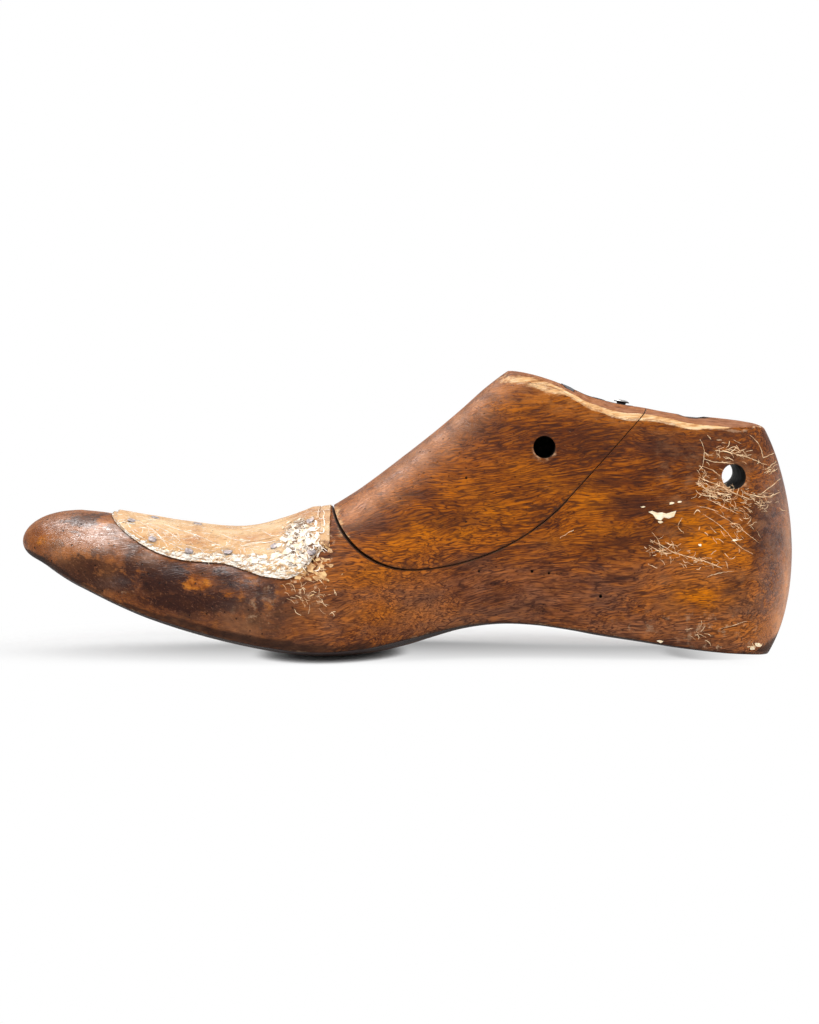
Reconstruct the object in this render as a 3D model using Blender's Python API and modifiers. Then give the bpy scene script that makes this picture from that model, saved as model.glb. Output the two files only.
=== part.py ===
"""A wooden shoe last for the right foot, with a removable scoop block on its instep.

The last is one lofted wooden form. A curved saw cut, the scoop, parts it into the last body and the
scoop block. A steel draw pin holds the block down and a peg keeps it in line. A leather fitting in
two layers, nailed with iron tacks, builds up the vamp. A steel thimble in the heel takes the jack.

Sizes are in millimetres and MM turns them into metres. +X points to the heel, -X to the toe, -Y is
the inner side of the foot and +Z is up. The origin is on the ground under the middle of the last.
"""

from math import atan, cos, hypot, radians, sin, tan

import bmesh
import bpy
from mathutils import Matrix, Vector

MM = 0.001

# Overall sizes, and the ones that the lines below are drawn for.
LENGTH = 290.0
CONE_HEIGHT = 107.2
BALL_WIDTH = 89.0
DRAWN_LENGTH = 290.0
DRAWN_HEIGHT = 107.2
DRAWN_BALL_WIDTH = 89.0

# The lines of the last: (distance from the heel's back, value).
CREST_LINE = (
    (27, 100), (45, 104), (70, 109), (88, 113), (105, 108.5), (115, 101.5), (125, 92.6),
    (145, 76.4), (165, 61.7), (174, 56.2), (190, 48.5), (205, 44.2), (215, 44.2), (230, 46.9),
    (246, 51.1), (257, 53.8), (268, 55),
)
SOLE_LINE = (
    (12, 0.1), (27, 1), (42, 2.6), (58, 4.9), (75, 7.5), (85, 9.3), (98, 11), (112, 11.2),
    (125, 9.2), (135, 6.4), (145, 3.5), (158, 0.9), (165, 0.3), (173, 0), (181, 0.3), (190, 1.2),
    (208, 4.5), (220, 7.5), (231, 10.7), (243, 14.8), (254, 19.4), (268, 26.2),
)
RIDGE_LINE = (
    (27, 0), (100, -0.5), (125, -2.5), (145, -4.5), (165, -6.5), (190, -8.5), (230, -9.5), (268, -7.5),
)
INNER_EDGE = (
    (27, -23.5), (45, -25.2), (70, -24.2), (90, -22.4), (105, -22), (125, -24.5), (145, -31),
    (160, -36.6), (175, -40.8), (190, -42.2), (205, -41.3), (230, -37), (250, -31.8), (268, -25.8),
)
OUTER_EDGE = (
    (27, 24.5), (45, 27), (70, 28.5), (90, 31.7), (105, 36), (125, 41.2), (145, 44.2), (165, 44.6),
    (185, 42.1), (205, 36.9), (230, 28.6), (250, 20.4), (268, 12.8),
)
INNER_RISE = (
    (27, 1.3), (45, 1.9), (70, 2.2), (90, 2), (110, 2.2), (125, 3.2), (135, 4.1), (147, 4.9),
    (165, 4.6), (185, 4.2), (205, 4), (230, 3.6), (250, 3), (268, 2.5),
)
OUTER_RISE = (
    (27, 1.3), (45, 1.9), (70, 2), (90, 1.6), (125, 1.8), (145, 3), (165, 4), (205, 4.5),
    (230, 3.6), (250, 3), (268, 2.5),
)
WALL_FLARE = (
    (27, 14), (45, 13.5), (70, 12), (90, 10.5), (105, 10), (125, 9.5), (145, 9), (165, 8.5),
    (190, 8), (215, 7.5), (240, 7), (268, 7),
)
WALL_KNEE = ((27, 0.41), (70, 0.42), (105, 0.44), (145, 0.5), (190, 0.56), (230, 0.58), (268, 0.52))
RIDGE_FULLNESS = (
    (27, 14.5), (45, 15), (70, 14), (90, 12.5), (105, 11), (125, 11), (145, 13), (165, 16),
    (190, 20), (215, 21), (240, 18), (268, 14),
)

# The heel's back and the toe's front: a reach from the centre of each, and the curve of its wall.
HEEL_CENTRE = 27.0
HEEL_SEAT_REACH = 18.8
HEEL_SEAT_RISE = 0.6
HEEL_KNEE_REACH = 39.1
HEEL_KNEE_HEIGHT = 34.5
HEEL_BROW_REACH = 20.8
TOE_CENTRE = 22.0
TOE_SOLE_REACH = 15.0
TOE_SOLE_RISE = 2.5
TOE_KNEE_REACH = 27.7
TOE_KNEE_HEIGHT = 39.0
TOE_BROW_REACH = 23.5
TREAD_SHARE = 0.12

# The sawn top of the cone: its height, half its width, and how far it falls from its flat middle to
# its edges. A bevel runs on down from the edges.
TOP_LINE = (
    (0, 74), (5, 80.4), (9, 84.5), (13, 86.8), (18, 88), (25, 89), (33, 89.8), (40, 90.4), (50, 92),
    (57, 93.4), (64, 94.4), (68, 95.2), (73, 96.5), (78, 98.1), (82, 99.9), (88, 102.5), (94, 104.6),
    (99, 106), (107, 107.2), (113, 106.6), (121, 105), (290, 100),
)
TOP_EDGE = (
    (0, 12), (12, 14.2), (25, 13.9), (38, 14.4), (57, 14.3), (67, 14), (74, 13.6), (81, 12.8),
    (88, 11.6), (96, 9.6), (104, 7.4), (121, 6.6),
)
TOP_FALL = (
    (0, 1.3), (14, 1.8), (19, 2.3), (25, 2.7), (32, 2.8), (40, 2.6), (46, 2.1), (52, 1.9), (58, 2.3),
    (66, 2.8), (73, 2.5), (80, 2.2), (88, 1.7), (96, 1), (104, 0.4), (121, 0.3),
)
TOP_FLAT = 9.0
TOP_BEVEL = radians(44)

# The scoop: an arc down from the vamp, a wider arc, and a straight run up to the top.
SCOOP_BOTTOM = (143.7, 34.1)
SCOOP_FRONT_RADIUS = 31.0
SCOOP_REAR_RADIUS = 78.5
SCOOP_REAR_SLOPE = radians(47.3)
JOINT_GAP = 0.35
FRONT_GAPE = 0.7

# Holes for the maker's hook.
PULL_HOLE = (24.2, 67.9)
HOOK_HOLE = (94.4, 78.8)
HOOK_HOLE_BORE = 8.3
PULL_HOLE_BORE = 9.2
HOOK_HOLE_DEPTH = 27.0

# Steelwork.
CLEARANCE = 0.3
THIMBLE_FROM_HEEL = 37.9
THIMBLE_BORE = 10.4
THIMBLE_WALL = 0.8
THIMBLE_LENGTH = 45.0
THIMBLE_FLANGE_WIDTH = 0.6
THIMBLE_FLANGE_THICKNESS = 0.9
THIMBLE_MOUTH = 0.4
THIMBLE_SUNK = 0.6
STRAP_FRONT = 87.2
STRAP_SHOULDER = 82.8
STRAP_REAR = 60.2
STRAP_WIDTH = 6.4
STRAP_END_WIDTH = 15.6
STRAP_NOSE_WIDTH = 7.6
STRAP_THICKNESS = 1.1
STRAP_SCREWS_FROM_HEEL = (84.9, 72.9)
SCREW_PROUD = 0.25
SCREW_HEAD = 5.0
SCREW_SHANK = 2.6
SCREW_LENGTH = 12.0
SCREW_SLOT_WIDTH = 0.7
SCREW_SLOT_DEPTH = 0.5
SCREW_SLOT_TURNS = (radians(35), radians(70))
PIN_FROM_HEEL = 64.4
PIN_SHANK = 3.4
PIN_HEAD = 5.8
PIN_HEAD_THICKNESS = 1.2
PIN_PROUD = 0.7
PIN_LENGTH = 29.0
PIN_POINT = 2.6
PEG_FROM_HEEL = 146.0
PEG_DIAMETER = 6.0
PEG_SEATED = 12.0
PEG_PROUD = 8.0
PEG_CHAMFER = 0.8

# The leather fitting on the vamp: the height of its lower edges and its thickness on the crest.
FITTING_FRONT = 255.7
FITTING_REAR_GAP = 0.7
FITTING_EDGE = (
    (172, 30.8), (181, 30.8), (190, 31.4), (199, 32.5), (206, 34.7), (212, 36.4), (218, 36.9),
    (227, 37.7), (239, 41.2), (248.5, 46.6), (252.8, 50), (255.7, 53),
)
LOWER_LEATHER = (
    (173, 1.1), (181, 1.4), (190, 1.7), (205, 2.1), (220, 2.1), (235, 1.5), (248, 0.8), (255.7, 0.5),
)
UPPER_LEATHER = (
    (176, 1), (184, 1.3), (195, 1.7), (208, 2.1), (220, 2.1), (235, 1.5), (248, 0.9), (255, 0.5),
)
UPPER_REAR = 177.0
UPPER_FRONT = 254.0
UPPER_MARGIN = 0.97
SKIVED_EDGE = 0.4
LEATHER_BED = 0.35

# Tacks: (distance from the heel, place across the fitting from -1, its inner edge, to 1).
TACK_HEAD = 3.8
TACK_HEAD_THICKNESS = 0.7
TACK_SHANK = 1.6
TACK_LENGTH = 9.0
TACKS = (
    (247.9, -0.58), (239.1, -0.82), (225.4, -0.86), (211.1, -0.83), (193.3, -0.65),
    (180.3, -0.39), (180.0, -0.76), (240.2, -0.18), (224.3, -0.14), (248.0, 0.44),
    (238.0, 0.70), (224.0, 0.73), (209.0, 0.66), (194.5, 0.52), (182.4, 0.34),
)

# How finely the round shapes are drawn.
SIDE_STATIONS = 44
FAN_STEPS = 14
WALL_STEPS = 13
SOLE_SHARES = (0.0, 0.3, 0.55, 0.8, 1.0)
FITTING_STATIONS = 17
FITTING_STRIPS = 14
BORE_SIDES = 24
HOLE_SIDES = 16
TACK_SIDES = 10
ARC_STEPS = 14
STRAP_STEPS = 12
SHARP = radians(28)
CUT_REACH = 70.0
CUT_TOP = 135.0


def line(points):
    """A smooth line through (distance from the heel, value) points, as a function of the distance."""

    def slope(i):
        (x0, y0), (x1, y1), (x2, y2) = points[i - 1], points[i], points[i + 1]
        before, after = (y1 - y0) / (x1 - x0), (y2 - y1) / (x2 - x1)
        return (before * (x2 - x1) + after * (x1 - x0)) / (x2 - x0)

    last = len(points) - 1
    ends = [(points[i + 1][1] - points[i][1]) / (points[i + 1][0] - points[i][0]) for i in (0, last - 1)]
    slopes = [ends[0]] + [slope(i) for i in range(1, last)] + [ends[1]]

    def value(at):
        i = next((k for k in range(last) if at <= points[k + 1][0]), last - 1)
        (x0, y0), (x1, y1) = points[i], points[i + 1]
        span = x1 - x0
        u = (at - x0) / span
        if u < 0 or u > 1:
            end = 0 if u < 0 else last
            return points[end][1] + slopes[end] * (at - points[end][0])
        return (
            y0 * (2 * u**3 - 3 * u**2 + 1)
            + y1 * (3 * u**2 - 2 * u**3)
            + span * slopes[i] * (u**3 - 2 * u**2 + u)
            + span * slopes[i + 1] * (u**3 - u**2)
        )

    return value


crest_height, sole_height, ridge_offset = line(CREST_LINE), line(SOLE_LINE), line(RIDGE_LINE)
inner_edge, outer_edge = line(INNER_EDGE), line(OUTER_EDGE)
inner_rise, outer_rise = line(INNER_RISE), line(OUTER_RISE)
wall_flare, wall_knee, ridge_fullness = line(WALL_FLARE), line(WALL_KNEE), line(RIDGE_FULLNESS)
top_height, top_edge, top_fall = line(TOP_LINE), line(TOP_EDGE), line(TOP_FALL)
fitting_edge, lower_leather, upper_leather = line(FITTING_EDGE), line(LOWER_LEATHER), line(UPPER_LEATHER)

TALL = CONE_HEIGHT / DRAWN_HEIGHT
WIDE = BALL_WIDTH / DRAWN_BALL_WIDTH
LONG = LENGTH / DRAWN_LENGTH
TOE_CENTRE_FROM_HEEL = DRAWN_LENGTH - TOE_CENTRE


def along(from_heel):
    """The X of a drawn distance from the heel's back."""
    return LENGTH / 2 - from_heel * LONG


class Spoke:
    """Half a section of the last: from the middle of the sole, out and up the wall, to the ridge."""

    def __init__(self, foot, ridge, outward, reach, tilt, rise, knee, brow):
        self.foot, self.ridge, self.outward = Vector(foot), Vector(ridge), Vector(outward)
        self.reach, self.tilt, self.rise, self.knee, self.brow = reach, tilt, rise, knee, brow

    def sole(self, share):
        """A point of the sole, flat in the middle and crowned up to the edge."""
        crown = max(0.0, (share - TREAD_SHARE) / (1 - TREAD_SHARE)) ** 2
        point = self.foot + self.outward * self.reach * share
        point.z += self.tilt * self.reach * share + self.rise * crown
        return point

    def wall(self, t):
        """A point of the wall, a cubic curve from the sole's edge at 0 to the ridge at 1."""
        edge = self.sole(1.0).z
        weights = ((1 - t) ** 3, 3 * t * (1 - t) ** 2, 3 * t**2 * (1 - t), t**3)
        reaches = (self.reach, self.knee[0], self.brow, 0.0)
        heights = (edge, self.knee[1], self.ridge.z, self.ridge.z)
        out = sum(w * r for w, r in zip(weights, reaches))
        height = sum(w * h for w, h in zip(weights, heights))
        point = self.foot.lerp(self.ridge, (height - edge) / (self.ridge.z - edge))
        point += self.outward * out
        point.z = height
        return point

    def where(self, beyond):
        """How far up the wall the test of a point first holds, between the sole's edge and the ridge."""
        low, high = 0.3, 1.0
        for _ in range(30):
            middle = (low + high) / 2
            low, high = (low, middle) if beyond(self.wall(middle)) else (middle, high)
        return high

    def within(self, width):
        """How far up the wall its points first come within a distance of the ridge."""
        return self.where(lambda p: hypot(p.x - self.ridge.x, p.y - self.ridge.y) < width)

    def column(self):
        """The points from the middle of the sole to the middle of the top, with the top sawn off."""
        flat = self.within(TOP_FLAT / 2)
        edge = min(self.within(top_edge(from_heel_of(self.ridge)) * WIDE), flat - 0.03)
        sawn = min(self.where(lambda p: p.z > sawn_height(p)), edge - 0.02)
        heights = [sawn * i / WALL_STEPS for i in range(WALL_STEPS + 1)]
        heights += [(sawn + edge) / 2, edge, (edge + flat) / 2, flat, 1.0]
        points = [self.wall(t) for t in heights]
        for point in points:
            point.z = min(point.z, sawn_height(point))
        return [self.sole(share) for share in SOLE_SHARES[:-1]] + points


def from_heel_of(point):
    """The drawn distance of a point from the heel's back."""
    return (LENGTH / 2 - point.x) / LONG


def sawn_height(point):
    """The height of the sawn top above a point: flat in the middle, falling to its edges, then bevelled."""
    from_heel = from_heel_of(point)
    edge = top_edge(from_heel) * WIDE
    aside = abs(point.y - ridge_offset(from_heel) * WIDE)
    fallen = min(max(aside - TOP_FLAT / 2, 0.0) / (edge - TOP_FLAT / 2), 1.0)
    beyond = max(aside - edge, 0.0)
    return (top_height(from_heel) - top_fall(from_heel) * fallen) * TALL - beyond * tan(TOP_BEVEL)


def side_spoke(from_heel, side):
    """The half section at a distance from the heel, on the inner side (-1) or the outer side (1)."""
    edge_y, rise = (inner_edge, inner_rise) if side < 0 else (outer_edge, outer_rise)
    middle = (inner_edge(from_heel) + outer_edge(from_heel)) / 2
    foot = (along(from_heel), middle * WIDE, sole_height(from_heel) * TALL)
    ridge = (along(from_heel), ridge_offset(from_heel) * WIDE, crest_height(from_heel) * TALL)
    reach = abs(edge_y(from_heel) - middle) * WIDE
    edge = foot[2] + rise(from_heel) * TALL
    knee = (
        reach + wall_flare(from_heel) * WIDE,
        edge + wall_knee(from_heel) * (ridge[2] - edge),
    )
    brow = ridge_fullness(from_heel) * WIDE
    return Spoke(foot, ridge, (0, side, 0), reach, 0.0, edge - foot[2], knee, brow)


def rounded(at_side, at_end, turn, taper):
    """The reach of an oval at a turn away from its end. It leaves the sides at their own taper."""
    oval = at_side * at_end / hypot(at_side * cos(turn), at_end * sin(turn))
    return oval * (1 - taper * (radians(90) - turn) * (turn / radians(90)) ** 2)


def fan_spoke(side_one, end_one, direction, turn, taper):
    """A half section between a side one and the one at the heel's back or the toe's front."""
    share = cos(turn) ** 2
    outward = (direction * cos(turn), side_one.outward.y * sin(turn), 0)
    knee = (
        rounded(side_one.knee[0], end_one.knee[0], turn, taper),
        side_one.knee[1] + (end_one.knee[1] - side_one.knee[1]) * share,
    )
    reach = rounded(side_one.reach, end_one.reach, turn, taper)
    rise = side_one.rise + (end_one.rise - side_one.rise) * share
    brow = rounded(side_one.brow, end_one.brow, turn, taper)
    tilt = end_one.tilt * cos(turn)
    return Spoke(side_one.foot, side_one.ridge, outward, reach, tilt, rise, knee, brow)


def end_spoke(from_heel, direction, reach, rise, knee, brow):
    """The half section at the heel's back (1) or the toe's front (-1)."""
    base = side_spoke(from_heel, 1)
    knee = (knee[0] * LONG, knee[1] * TALL)
    tilt = -direction * tan(slope_of(sole_height, from_heel))
    outward = (direction, 0, 0)
    return Spoke(base.foot, base.ridge, outward, reach * LONG, tilt, rise * TALL, knee, brow * LONG)


def fan(from_heel, direction, end_one, from_side):
    """The half sections round an end of the last, from one side to the other."""
    turns = [radians(90 - 180 * i / FAN_STEPS) for i in range(1, FAN_STEPS)]
    sides = {1: side_spoke(from_heel, from_side), -1: side_spoke(from_heel, -from_side)}
    step = 0.5
    before, after = side_spoke(from_heel + direction * step, 1), side_spoke(from_heel - direction * step, 1)
    taper = (before.reach - after.reach) / (2 * step * LONG)
    return [fan_spoke(sides[1 if turn >= 0 else -1], end_one, direction, abs(turn), taper) for turn in turns]


def spokes_of_the_last():
    """Every half section in order: along the inner side, round the heel, back, and round the toe."""
    first, final = TOE_CENTRE_FROM_HEEL, HEEL_CENTRE
    stations = [first + (final - first) * i / SIDE_STATIONS for i in range(SIDE_STATIONS + 1)]
    knee = (HEEL_KNEE_REACH, HEEL_KNEE_HEIGHT)
    heel = end_spoke(HEEL_CENTRE, 1, HEEL_SEAT_REACH, HEEL_SEAT_RISE, knee, HEEL_BROW_REACH)
    knee = (TOE_KNEE_REACH, TOE_KNEE_HEIGHT)
    toe = end_spoke(TOE_CENTRE_FROM_HEEL, -1, TOE_SOLE_REACH, TOE_SOLE_RISE, knee, TOE_BROW_REACH)
    return (
        [side_spoke(d, -1) for d in stations]
        + fan(HEEL_CENTRE, 1, heel, -1)
        + [side_spoke(d, 1) for d in reversed(stations)]
        + fan(TOE_CENTRE_FROM_HEEL, -1, toe, 1)
    )


def collection(name):
    made = bpy.data.collections.new(name)
    bpy.context.scene.collection.children.link(made)
    return made


def add_object(name, mesh, group):
    made = bpy.data.objects.new(name, mesh)
    group.objects.link(made)
    return made


def grid_mesh(name, rows, close_rows=False, close_columns=False):
    """A mesh of four-sided faces through rows of points, in millimetres, with welded points."""
    bm = bmesh.new()
    grid = [[bm.verts.new(p * MM) for p in row] for row in rows]
    pairs = list(zip(grid, grid[1:])) + ([(grid[-1], grid[0])] if close_rows else [])
    for row, following in pairs:
        count = len(row)
        for i in range(count if close_columns else count - 1):
            j = (i + 1) % count
            bm.faces.new((row[i], row[j], following[j], following[i]))
    bmesh.ops.remove_doubles(bm, verts=bm.verts, dist=0.01 * MM)
    bmesh.ops.recalc_face_normals(bm, faces=bm.faces)
    mesh = bpy.data.meshes.new(name)
    bm.to_mesh(mesh)
    bm.free()
    mesh.shade_smooth()
    mesh.set_sharp_from_angle(angle=SHARP)
    return mesh


def last_form():
    """The whole wooden form, before the saw."""
    return grid_mesh("last_form", [spoke.column() for spoke in spokes_of_the_last()], close_rows=True)


def scoop_outline(opened):
    """The scoop's outline in X and Z. opened is the share of the joint's gap that it keeps clear."""
    bottom, floor = SCOOP_BOTTOM
    front, rear = SCOOP_FRONT_RADIUS, SCOOP_REAR_RADIUS - opened * JOINT_GAP
    drawn = []
    for i in range(ARC_STEPS + 1):
        turn = radians(90 - 90 * i / ARC_STEPS)
        radius = front - opened * (JOINT_GAP + FRONT_GAPE * sin(2 * turn))
        drawn.append((bottom + radius * sin(turn), floor + front - radius * cos(turn)))
    for i in range(1, ARC_STEPS + 1):
        turn = SCOOP_REAR_SLOPE * i / ARC_STEPS
        drawn.append((bottom - rear * sin(turn), floor + SCOOP_REAR_RADIUS - rear * cos(turn)))
    from_heel, height = drawn[-1]
    drawn.append((from_heel - (CUT_TOP - height) / tan(SCOOP_REAR_SLOPE), CUT_TOP))
    drawn.append((drawn[0][0], CUT_TOP))
    return [(along(d), z * TALL) for d, z in drawn]


def scoop_floor(from_heel):
    """The drawn height of the scoop's front arc at a distance from the heel."""
    ahead = from_heel - SCOOP_BOTTOM[0]
    return SCOOP_BOTTOM[1] + SCOOP_FRONT_RADIUS - (SCOOP_FRONT_RADIUS**2 - ahead**2) ** 0.5


def scoop_front():
    """The distance from the heel at which the scoop meets the crest of the vamp."""
    low, high = SCOOP_BOTTOM[0], SCOOP_BOTTOM[0] + SCOOP_FRONT_RADIUS
    for _ in range(40):
        middle = (low + high) / 2
        low, high = (middle, high) if scoop_floor(middle) < crest_height(middle) else (low, middle)
    return low


def plate_mesh(name, outline, width, turn=radians(90)):
    """A flat outline in X and Z, or in X and Y with no turn, thickened to the width as a welded mesh."""
    curve = bpy.data.curves.new(name, "CURVE")
    curve.dimensions = "2D"
    curve.fill_mode = "BOTH"
    curve.extrude = width / 2 * MM
    spline = curve.splines.new("POLY")
    spline.points.add(len(outline) - 1)
    for point, (x, z) in zip(spline.points, outline):
        point.co = (x * MM, z * MM, 0, 1)
    spline.use_cyclic_u = True
    drawn = bpy.data.objects.new(name + "_curve", curve)
    bpy.context.scene.collection.objects.link(drawn)
    drawn.rotation_euler.x = turn
    bpy.context.view_layer.update()
    mesh = bpy.data.meshes.new_from_object(drawn.evaluated_get(bpy.context.evaluated_depsgraph_get()))
    mesh.transform(drawn.matrix_world)
    bpy.data.objects.remove(drawn)
    bm = bmesh.new()
    bm.from_mesh(mesh)
    bmesh.ops.remove_doubles(bm, verts=bm.verts, dist=0.001 * MM)
    bmesh.ops.recalc_face_normals(bm, faces=bm.faces)
    bm.to_mesh(mesh)
    bm.free()
    mesh.name = name
    return mesh


def box_mesh(name, size):
    """A box of the size in millimetres, about its own origin."""
    bm = bmesh.new()
    bmesh.ops.create_cube(bm, size=1, matrix=Matrix.Diagonal((*(s * MM for s in size), 1)))
    mesh = bpy.data.meshes.new(name)
    bm.to_mesh(mesh)
    bm.free()
    return mesh


def turned(name, profile, sides, place, group):
    """A turned piece: (radius, height) points down its outer side, spun about the place's Z."""
    mesh = bpy.data.meshes.new(name)
    closed = profile[0] == profile[-1]
    points = profile[:-1] if closed else profile
    edges = [(i, i + 1) for i in range(len(points) - 1)]
    edges += [(len(points) - 1, 0)] if closed else []
    mesh.from_pydata([(r * MM, 0, z * MM) for r, z in points], edges, [])
    made = add_object(name, mesh, group)
    made.matrix_world = place
    screw = made.modifiers.new("turn", "SCREW")
    screw.axis = "Z"
    screw.steps = screw.render_steps = sides
    screw.use_merge_vertices = True
    screw.merge_threshold = 0.001 * MM
    screw.use_smooth_shade = True
    return made


def rod_profile(radius, low, high):
    return [(0, high), (radius, high), (radius, low), (0, low)]


def place_at(x, y, z, axis):
    """A frame in metres at a point in millimetres, whose Z runs along the axis."""
    turn = Vector(axis).to_track_quat("Z", "Y").to_matrix().to_4x4()
    return Matrix.Translation(Vector((x, y, z)) * MM) @ turn


def finish_of(name, colour, roughness, metallic=0.0):
    made = bpy.data.materials.new(name)
    made.use_nodes = True
    shader = made.node_tree.nodes["Principled BSDF"]
    shader.inputs["Base Color"].default_value = (*colour, 1)
    shader.inputs["Roughness"].default_value = roughness
    shader.inputs["Metallic"].default_value = metallic
    return made


def cut(target, cutter, operation="DIFFERENCE"):
    """A Boolean on the target with one object, or with every object of a collection."""
    modifier = target.modifiers.new(cutter.name, "BOOLEAN")
    modifier.operation = operation
    if isinstance(cutter, bpy.types.Collection):
        modifier.operand_type = "COLLECTION"
        modifier.collection = cutter
    else:
        modifier.object = cutter


def hide(cutter):
    cutter.hide_render = True
    cutter.display_type = "WIRE"


def slope_of(height, from_heel):
    """How far a line leans back from level, as an angle, on the last as it is sized."""
    step = 0.5
    rise = (height(from_heel + step) - height(from_heel - step)) * TALL
    return atan(rise / (2 * step * LONG))


def lean(angle):
    """The upward direction that leans to the heel by the angle."""
    return Vector((sin(angle), 0, cos(angle)))


THIMBLE_AXIS = lean(slope_of(top_height, THIMBLE_FROM_HEEL))
LIFT_AXIS = lean(slope_of(top_height, PIN_FROM_HEEL))
THIMBLE_RADIUS = THIMBLE_BORE / 2 + THIMBLE_WALL
FLANGE_RADIUS = THIMBLE_RADIUS + THIMBLE_FLANGE_WIDTH


def top_place(from_heel, axis):
    """The frame on the sawn top's middle line at a distance from the heel."""
    return place_at(along(from_heel), 0, top_height(from_heel) * TALL, axis)


def raised(height):
    """A move along a frame's own Z, in millimetres."""
    return Matrix.Translation((0, 0, height * MM))


def cross_hole(name, at, bore, low, high, group):
    """A cutter for a round hole across the last, from Y low to Y high."""
    place = place_at(along(at[0]), 0, at[1] * TALL, (0, 1, 0))
    return turned(name, rod_profile(bore / 2, low, high), BORE_SIDES, place, group)


def wall_y(at, side):
    """The Y of the last's wall at (distance from the heel, height), on one side."""
    spoke = side_spoke(at[0], side)
    low, high = 0.1, 1.0
    for _ in range(30):
        middle = (low + high) / 2
        low, high = (middle, high) if spoke.wall(middle).z < at[1] * TALL else (low, middle)
    return spoke.wall(low).y


def build_thimble(group, cutters, material):
    place = top_place(THIMBLE_FROM_HEEL, THIMBLE_AXIS) @ raised(-THIMBLE_SUNK)
    bore, outside = THIMBLE_BORE / 2, THIMBLE_RADIUS
    profile = [
        (bore + THIMBLE_MOUTH, 0), (FLANGE_RADIUS, 0), (FLANGE_RADIUS, -THIMBLE_FLANGE_THICKNESS),
        (outside, -THIMBLE_FLANGE_THICKNESS), (outside, -THIMBLE_LENGTH), (bore, -THIMBLE_LENGTH),
        (bore, -THIMBLE_MOUTH), (bore + THIMBLE_MOUTH, 0),
    ]
    made = turned("jack_thimble", profile, BORE_SIDES, place, group)
    made.data.materials.append(material)
    bed = THIMBLE_FLANGE_THICKNESS + CLEARANCE
    open_to = THIMBLE_SUNK + bed
    bore_profile = [
        (0, open_to), (FLANGE_RADIUS + CLEARANCE, open_to), (FLANGE_RADIUS + CLEARANCE, -bed),
        (outside + CLEARANCE, -bed), (outside + CLEARANCE, -THIMBLE_LENGTH - CLEARANCE),
        (0, -THIMBLE_LENGTH - CLEARANCE),
    ]
    return made, turned("thimble_bore", bore_profile, BORE_SIDES, place, cutters)


def strap_plan(grow):
    """The strap's outline from above: a plain band, and a wide end with a narrower nose at its front."""
    band, end, nose = (width / 2 + grow for width in (STRAP_WIDTH, STRAP_END_WIDTH, STRAP_NOSE_WIDTH))
    front, shoulder = along(STRAP_FRONT) - grow, along(STRAP_SHOULDER) + grow
    side = [(front, nose), (front + 1.8, end), (shoulder, end), (shoulder, band)]
    side.append((along(STRAP_REAR) + grow, band))
    return side + [(x, -y) for x, y in side[::-1]]


def strap_piece(name, grow, below, above, group, cutters):
    """A plate of the strap's outline, curved as the sawn top is, between two heights from the top."""
    rows = []
    for i in range(STRAP_STEPS + 1):
        d = STRAP_FRONT + 3 + (STRAP_REAR - STRAP_FRONT - 6) * i / STRAP_STEPS
        across = (-STRAP_END_WIDTH, -TOP_FLAT / 2, 0.0, TOP_FLAT / 2, STRAP_END_WIDTH)
        points = [Vector((along(d), y, 0)) for y in across]
        for point in points:
            point.z = sawn_height(point)
        tops = [point + Vector((0, 0, above)) for point in points]
        rows.append(tops + [point - Vector((0, 0, below)) for point in points[::-1]])
    made = add_object(name, strip_mesh(name, rows), group)
    plan_mesh = plate_mesh(name + "_plan", strap_plan(grow), 2 * CUT_TOP, 0)
    plan = add_object(name + "_plan", plan_mesh, cutters)
    cut(made, plan, "INTERSECT")
    return made


def screw_profile(head, shank, length, grow):
    """A countersunk wood screw down from its flat head, grown all over by a clearance."""
    half, thin = head / 2 + grow, shank / 2 + grow
    return [
        (0, grow), (half, grow), (half, -grow * 0.5), (thin, -(half - thin)),
        (thin, -length + shank - grow), (0, -length - grow),
    ]


def build_strap(group, cutters, steel):
    """The steel strap in the block's top and its two screws, and the cutters that seat them."""
    strap = strap_piece("block_strap", 0, STRAP_THICKNESS, 0, group, cutters)
    strap.data.materials.append(steel)
    depth = STRAP_THICKNESS + CLEARANCE
    groove = strap_piece("strap_groove", CLEARANCE, depth, STRAP_THICKNESS, cutters, cutters)
    slot = (SCREW_SLOT_WIDTH, SCREW_HEAD * 2, SCREW_SLOT_DEPTH * 2)
    screws, holes = [], []
    for name, d, turn in zip(("front", "rear"), STRAP_SCREWS_FROM_HEEL, SCREW_SLOT_TURNS):
        place = top_place(d, lean(slope_of(top_height, d))) @ raised(SCREW_PROUD)
        profile = screw_profile(SCREW_HEAD, SCREW_SHANK, SCREW_LENGTH, 0)
        screw = turned(f"strap_screw_{name}", profile, HOLE_SIDES, place, group)
        screw.data.materials.append(steel)
        driver = add_object(f"screw_slot_{name}", box_mesh("screw_slot", slot), cutters)
        driver.matrix_world = place @ Matrix.Rotation(turn, 4, "Z")
        cut(screw, driver)
        profile = screw_profile(SCREW_HEAD, SCREW_SHANK, SCREW_LENGTH, CLEARANCE)
        hole = turned(f"screw_hole_{name}", profile, HOLE_SIDES, place, cutters)
        cut(strap, hole)
        screws.append(screw)
        holes.append(hole)
    return [strap, *screws], [groove, *holes]


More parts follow.
